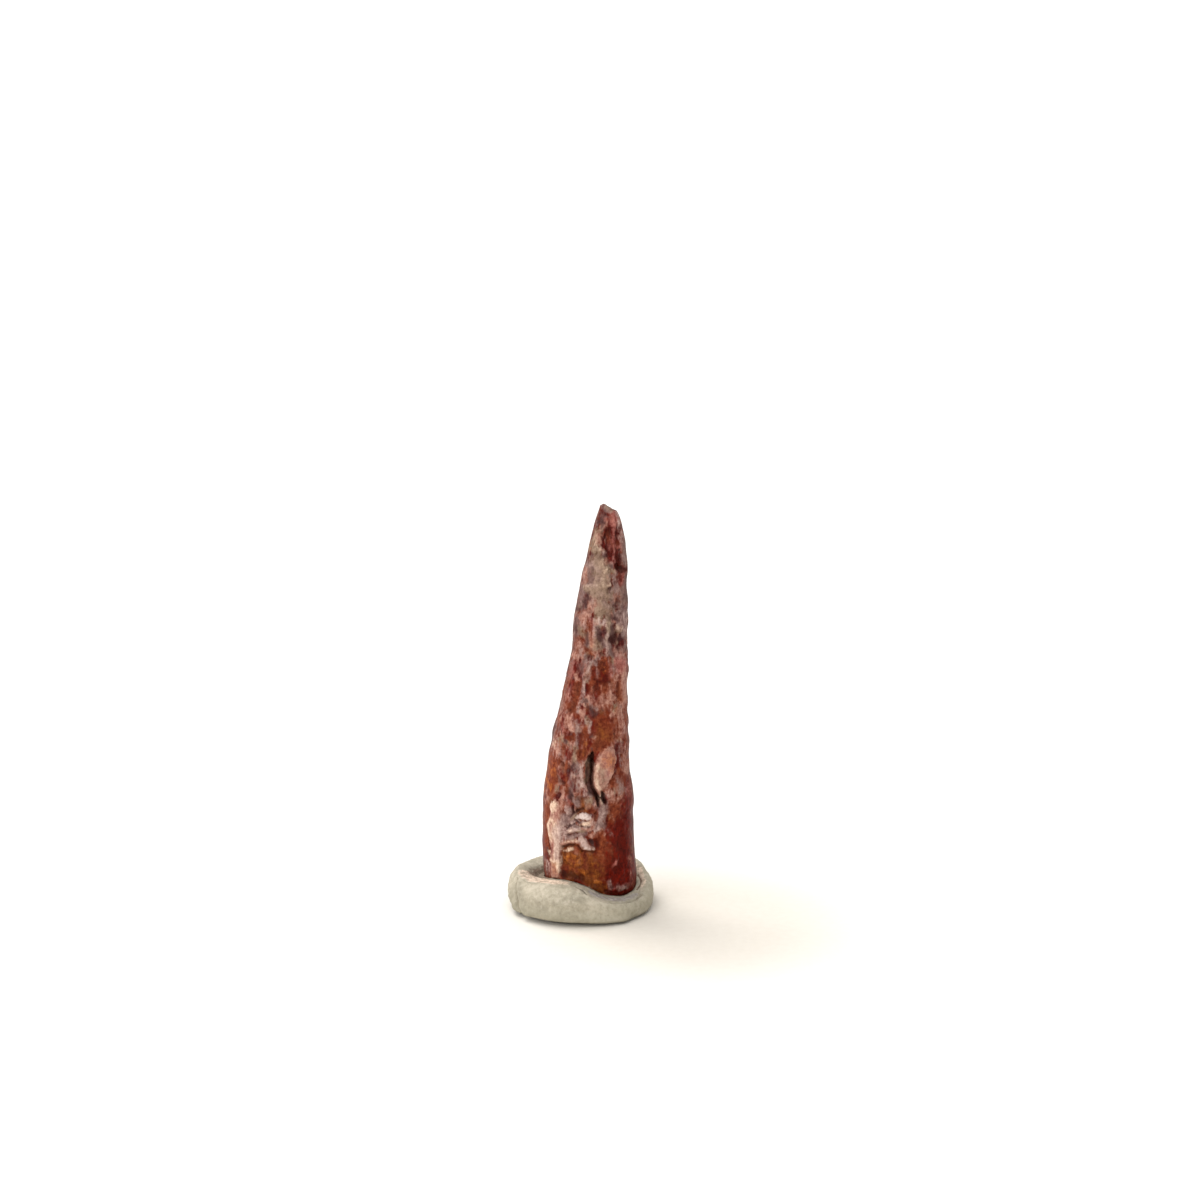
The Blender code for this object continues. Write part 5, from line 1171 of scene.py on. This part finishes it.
def toothEdgeFrom(start, angle, height):
    # where a level line from a point inside the smooth tooth leaves it
    middle, wide, deep = sectionAt(np.maximum(tooth["base"], height))
    x = (start - middle) / wide
    stepX, stepY = np.cos(angle) / wide, np.sin(angle) / deep
    a, b, c = stepX ** 2 + stepY ** 2, x * stepX, x ** 2 - 1
    reach = (-b + np.sqrt(b * b - a * c)) / a + putty["seam"]
    return np.stack([start + np.cos(angle) * reach, np.sin(angle) * reach, height], axis=1)


def pressPutty(compass, along, waver, relief):
    # presses and folds the putty, and gives the cover of each stain and painted shade
    perDegree = math.radians((putty["halfWidth"] + putty["halfDepth"]) / 2)     # mm round the putty
    covers = {name: np.zeros(len(compass)) for name in stainsAndShade}
    for name, finish, cover, rise, edge, line in presses:
        turn = (compass - line[0][0] + 180) % 360 - 180 + line[0][0]
        strip = [(degrees * perDegree, height, half) for degrees, height, half in line]
        gap = strokeGap(strip, turn * perDegree, along)
        relief += rise * (1 - smoothStep(0, edge, gap))
        if finish:
            paint(covers, finish, cover * (1 - smoothStep(-0.6 * edge, 1.4 * edge, gap + edge * waver)))
    return covers


def makePutty():
    piece = addDrum("putty_lump", putty["columns"], putty["cuts"], 2, 3)
    drum = readPoints(piece)
    angle = np.arctan2(drum[:, 1], drum[:, 0])
    compass = np.degrees(angle) % 360
    share, radius = drum[:, 2], np.hypot(drum[:, 0], drum[:, 1])
    crest, contact, near = curveThrough(puttyRim, compass)
    middle = sectionAt(contact)[0]
    lip = toothEdgeFrom(middle, angle, contact)
    outer = puttyEdge(angle)
    crestLine = lip + (outer - lip) * near[:, None]

    # from the foot, tucked under, out and up to the crest
    outside = share <= putty["outer"]
    up = np.clip(share / putty["outer"], 0, 1)
    under = math.radians(putty["undercut"])
    swing = -under + (math.pi / 2 + under) * up
    low = math.sin(-under)
    points = crestLine + (outer - crestLine) * np.cos(swing)[:, None]
    points[:, 2] = crest * (np.sin(swing) - low) / (1 - low)

    # from the crest down to the tooth, then down the wall of the pocket
    inward = np.clip((share - putty["outer"]) / putty["inner"], 0, 1)
    inside = crestLine + (lip - crestLine) * inward[:, None]
    inside[:, 2] = crest + (contact - crest) * smoothStep(0, 1, inward)
    points = np.where(outside[:, None], points, inside)
    down = np.clip((share - putty["outer"] - putty["inner"]) / (1 - putty["outer"] - putty["inner"]), 0, 1)
    pocket = toothEdgeFrom(middle, angle, contact + (putty["floor"] - contact) * down)
    points = np.where((down > 0)[:, None], pocket, points)

    # lumps, dents, and the presses
    pitch, rise = putty["lumps"]
    relief = rise * noiseAt(points, pitch)
    pitch, rise = putty["dents"]
    relief += rise * noiseAt(points, pitch, 1, 4.2)
    pitch, rise = putty["grain"]
    relief += rise * noiseAt(points, pitch, 1, 9.1)
    along = up * putty["rise"] + inward * putty["fall"]
    long, short = putty["wanderPitch"]
    waver = putty["ragged"] * (noiseAt(points, long, 1, 2.2) + 0.8 * noiseAt(points, short, 1, 6.4))
    covers = pressPutty(compass, along, waver, relief)
    flat = outer / np.linalg.norm(outer, axis=1)[:, None]
    shown = np.where(outside, np.sqrt(np.sin(math.pi * (0.1 + 0.8 * up))), math.sqrt(math.sin(0.1 * math.pi)))
    points += flat * (relief * shown * (1 - inward))[:, None]
    tuck, reach = putty["tuck"]
    points -= flat * (tuck * (1 - smoothStep(0, reach, up)))[:, None]
    points[:, 2] += relief * smoothStep(0.75, 1, up) * (1 - smoothStep(0.7, 1, inward)) * 0.8

    # the flat foot is closed at the origin, and the floor of the pocket at the middle of the tooth
    ends = (share < 0.001) | (share > 0.999)
    centre = middle[ends] * (share[ends] > 0.5)
    points[ends, 0] = centre + (points[ends, 0] - centre) * radius[ends]
    points[ends, 1] *= radius[ends]
    points[share < 0.001, 2] = 0
    points[:, :2] += tooth["aside"]

    writePoints(piece, points)
    writeCovers(piece, layered(covers))
    writeCovers(piece, {"relief": relief / putty["deepRelief"]})
    makeActive(piece)
    bpy.ops.object.shade_smooth()
    piece.data.materials.append(puttyMaterial())
    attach(piece, "root")
    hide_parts("putty")


def puttyMaterial():
    # Kneaded museum putty: a soft filled compound, dead matt and finely grained, grey-beige, with a
    # little brown dust from the fossil rubbed into it.
    material, tree, shader = newMaterial("kneaded_putty")
    place = addNode(tree, "TexCoord").outputs["Object"]
    pattern = {}
    for name, (pitch, detail, rough) in putty["patterns"].items():
        sockets = {"Vector": place, "Scale": perMm(pitch), "Detail": detail, "Roughness": rough}
        pattern[name] = addNode(tree, "TexNoise", sockets).outputs["Fac"]
    grain, torn = pattern["grain"], pattern["torn"]

    # the clouded compound, and each stain and painted shade over it, with torn edges and a streaked tone
    body = addNode(tree, "ValToRGB", {"Fac": pattern["clouds"]})
    stops = body.color_ramp.elements
    for position, shade in putty["body"]:
        stops.new(position).color = colour(shade)
    stops.remove(stops[0])
    stops.remove(stops[len(stops) - 1])
    skin, gloss = body.outputs["Color"], putty["roughness"]
    tone = addNode(tree, "MapRange", {"Value": torn, "From Min": 0.35, "From Max": 0.65}).outputs[0]
    tear = addNode(tree, "MapRange", {"Value": torn, "From Min": 0.3, "From Max": 0.7,
                                      "To Min": -0.4, "To Max": 0.4}).outputs[0]
    for name, finish in stainsAndShade.items():
        cover = addNode(tree, "Attribute", attribute_name=name).outputs["Fac"]
        broken = addNode(tree, "Math", {0: cover, 1: tear}, operation='ADD').outputs[0]
        factor = addNode(tree, "MapRange", {"Value": broken, "From Min": 0.15, "From Max": 1.0},
                         interpolation_type='SMOOTHSTEP').outputs[0]
        skin, gloss = layFinish(tree, factor, tone, finish, skin, gloss)

    # dull and pale spots, then a greener underside and a dark foot, dirt together with painted shade towards
    # the floor
    skin = layWashes(tree, skin, ((torn, putty["dull"]), (torn, putty["pale"])))
    height = addNode(tree, "SeparateXYZ", {0: place}).outputs["Z"]
    # dirt together with painted shade: darker and greener towards the floor, darkest at the foot
    for high, low, strength, dirtAndShade in putty["soiledAndShaded"]:
        factor = addNode(tree, "MapRange", {"Value": height, "From Min": high * mm, "From Max": low * mm,
                                            "To Max": strength}, interpolation_type='SMOOTHSTEP').outputs[0]
        skin = addNode(tree, "Mix", {0: factor, 6: skin, 7: colour(dirtAndShade)}, data_type='RGBA').outputs[2]

    # grey filler specks in the compound, and a darker colour in its dents
    relief = addNode(tree, "Attribute", attribute_name="relief").outputs["Fac"]
    skin = layWashes(tree, skin, ((grain, putty["specks"]), (relief, putty["darkerDents"])))
    tree.links.new(skin, shader.inputs["Base Color"])
    tree.links.new(gloss, shader.inputs["Roughness"])
    shader.inputs["IOR"].default_value = putty["ior"]
    shader.inputs["Specular IOR Level"].default_value = putty["specular"]
    strength, rise = putty["bump"]
    bump = addNode(tree, "Bump", {"Height": grain, "Strength": strength, "Distance": rise * mm})
    tree.links.new(bump.outputs["Normal"], shader.inputs["Normal"])
    return material


makePutty()
print("putty made")


# floor, light and camera

studio = {
    "floorSize": 0.3,               # m
    "card": ("d3ccc1", "dad4ca", "e9e7e3"),     # its two tones by the object, where a soft shadow is painted, and its tone further off
    "cardRoughness": 0.9,
    "cardSpecular": 0.1,
    "shadowSpot": (0.0055, -0.003, 0),    # m, a soft shadow painted on the card round here, a little darker and warmer
    "shadowReach": (0.004, 0.014),    # m, where that begins to fade and where it ends
    "brightSide": (-0.47, -0.05, 0.88),     # direction of the brightest part of the surroundings
    "brightest": 1.50,
    "dimmest": 0.15,
    "backdrop": 1.2,                # how bright the surroundings look behind the object
    "keyFrom": (-0.42, 0.44, 0.80),     # direction that the key light comes from
    "keyPower": 1.50,
    "keyTint": "fffdfb",
    "keySpread": 32,                # degrees, a wide soft source
    "fillPlace": (-0.13, -0.18, 0.07),
    "fillSize": 0.14,
    "fillPower": 0.14,
    "fillTint": "fffefd",
    "lampTarget": (0, 0, 0.008),    # m, middle of the object
    "cameraPlace": (0.00098, -0.12258, 0.042),
    "cameraTilt": 78,               # degrees, 90 is level
    "lens": 75,                     # mm
}


def cardMaterial():
    # Matt white card: plain, with a trace of tooth in its surface, and a soft shadow painted on it round the
    # object.
    material, tree, shader = newMaterial("matt_white_card")
    place = addNode(tree, "TexCoord").outputs["Object"]
    fibre = addNode(tree, "TexNoise", {"Vector": place, "Scale": perMm(0.4), "Detail": 3}).outputs["Fac"]
    dark, light, paler = map(colour, studio["card"])
    card = addNode(tree, "Mix", {0: fibre, 6: dark, 7: light}, data_type='RGBA').outputs[2]
    # painted shadow: the card darker and warmer near the object, paler further off
    away = addNode(tree, "VectorMath", {0: place, 1: studio["shadowSpot"]}, operation='DISTANCE')
    begins, ends = studio["shadowReach"]
    pale = addNode(tree, "MapRange", {"Value": away.outputs["Value"], "From Min": begins, "From Max": ends},
                   interpolation_type='SMOOTHSTEP').outputs[0]
    card = addNode(tree, "Mix", {0: pale, 6: card, 7: paler}, data_type='RGBA').outputs[2]
    tree.links.new(card, shader.inputs["Base Color"])
    shader.inputs["Roughness"].default_value = studio["cardRoughness"]
    shader.inputs["Specular IOR Level"].default_value = studio["cardSpecular"]
    return material


def addFloor():
    deselectAll()
    bpy.ops.mesh.primitive_grid_add(x_subdivisions=8, y_subdivisions=8, size=studio["floorSize"])
    floor = bpy.context.object
    floor.name = "floor"
    floor.data.materials.append(cardMaterial())


def addLamp(name, kind, place, power, tint):
    # a lamp at a place, turned to the middle of the object
    deselectAll()
    turn = (Vector(studio["lampTarget"]) - Vector(place)).to_track_quat('-Z', 'Y').to_euler()
    bpy.ops.object.light_add(type=kind, location=place, rotation=turn)
    lamp = bpy.context.object
    lamp.name = name
    lamp.data.energy = power
    lamp.data.color = colour(tint)[:3]
    return lamp.data


def addWorld():
    # white surroundings, brighter on one side, and plain white behind the object
    world = bpy.data.worlds.new("studio")
    bpy.context.scene.world = world
    world.use_nodes = True
    tree = world.node_tree
    sky = tree.nodes["Background"]
    way = addNode(tree, "TexCoord").outputs["Generated"]
    towards = addNode(tree, "VectorMath", {0: way, 1: studio["brightSide"]}, operation='DOT_PRODUCT')
    fade = addNode(tree, "MapRange", {"Value": towards.outputs["Value"], "From Min": -0.8, "From Max": 1.0,
                                      "To Min": studio["dimmest"], "To Max": studio["brightest"]}).outputs[0]
    seen = addNode(tree, "LightPath").outputs["Is Camera Ray"]
    power = addNode(tree, "Mix", {0: seen, 2: fade, 3: studio["backdrop"]}).outputs[0]
    sky.inputs["Color"].default_value = (1, 1, 1, 1)
    tree.links.new(power, sky.inputs["Strength"])


def addCamera():
    deselectAll()
    tilt = math.radians(studio["cameraTilt"])
    bpy.ops.object.camera_add(location=studio["cameraPlace"], rotation=(tilt, 0, 0))
    camera = bpy.context.object
    camera.data.lens = studio["lens"]
    camera.data.sensor_width = 36
    camera.data.clip_start = 0.001
    camera.data.clip_end = 10
    return camera


addFloor()
addWorld()
key = addLamp("key", 'SUN', studio["keyFrom"], studio["keyPower"], studio["keyTint"])
key.angle = math.radians(studio["keySpread"])
fill = addLamp("fill", 'AREA', studio["fillPlace"], studio["fillPower"], studio["fillTint"])
fill.size = studio["fillSize"]
bpy.context.scene.camera = addCamera()
bpy.context.scene.view_settings.view_transform = 'Standard'
print("floor, light and camera set")
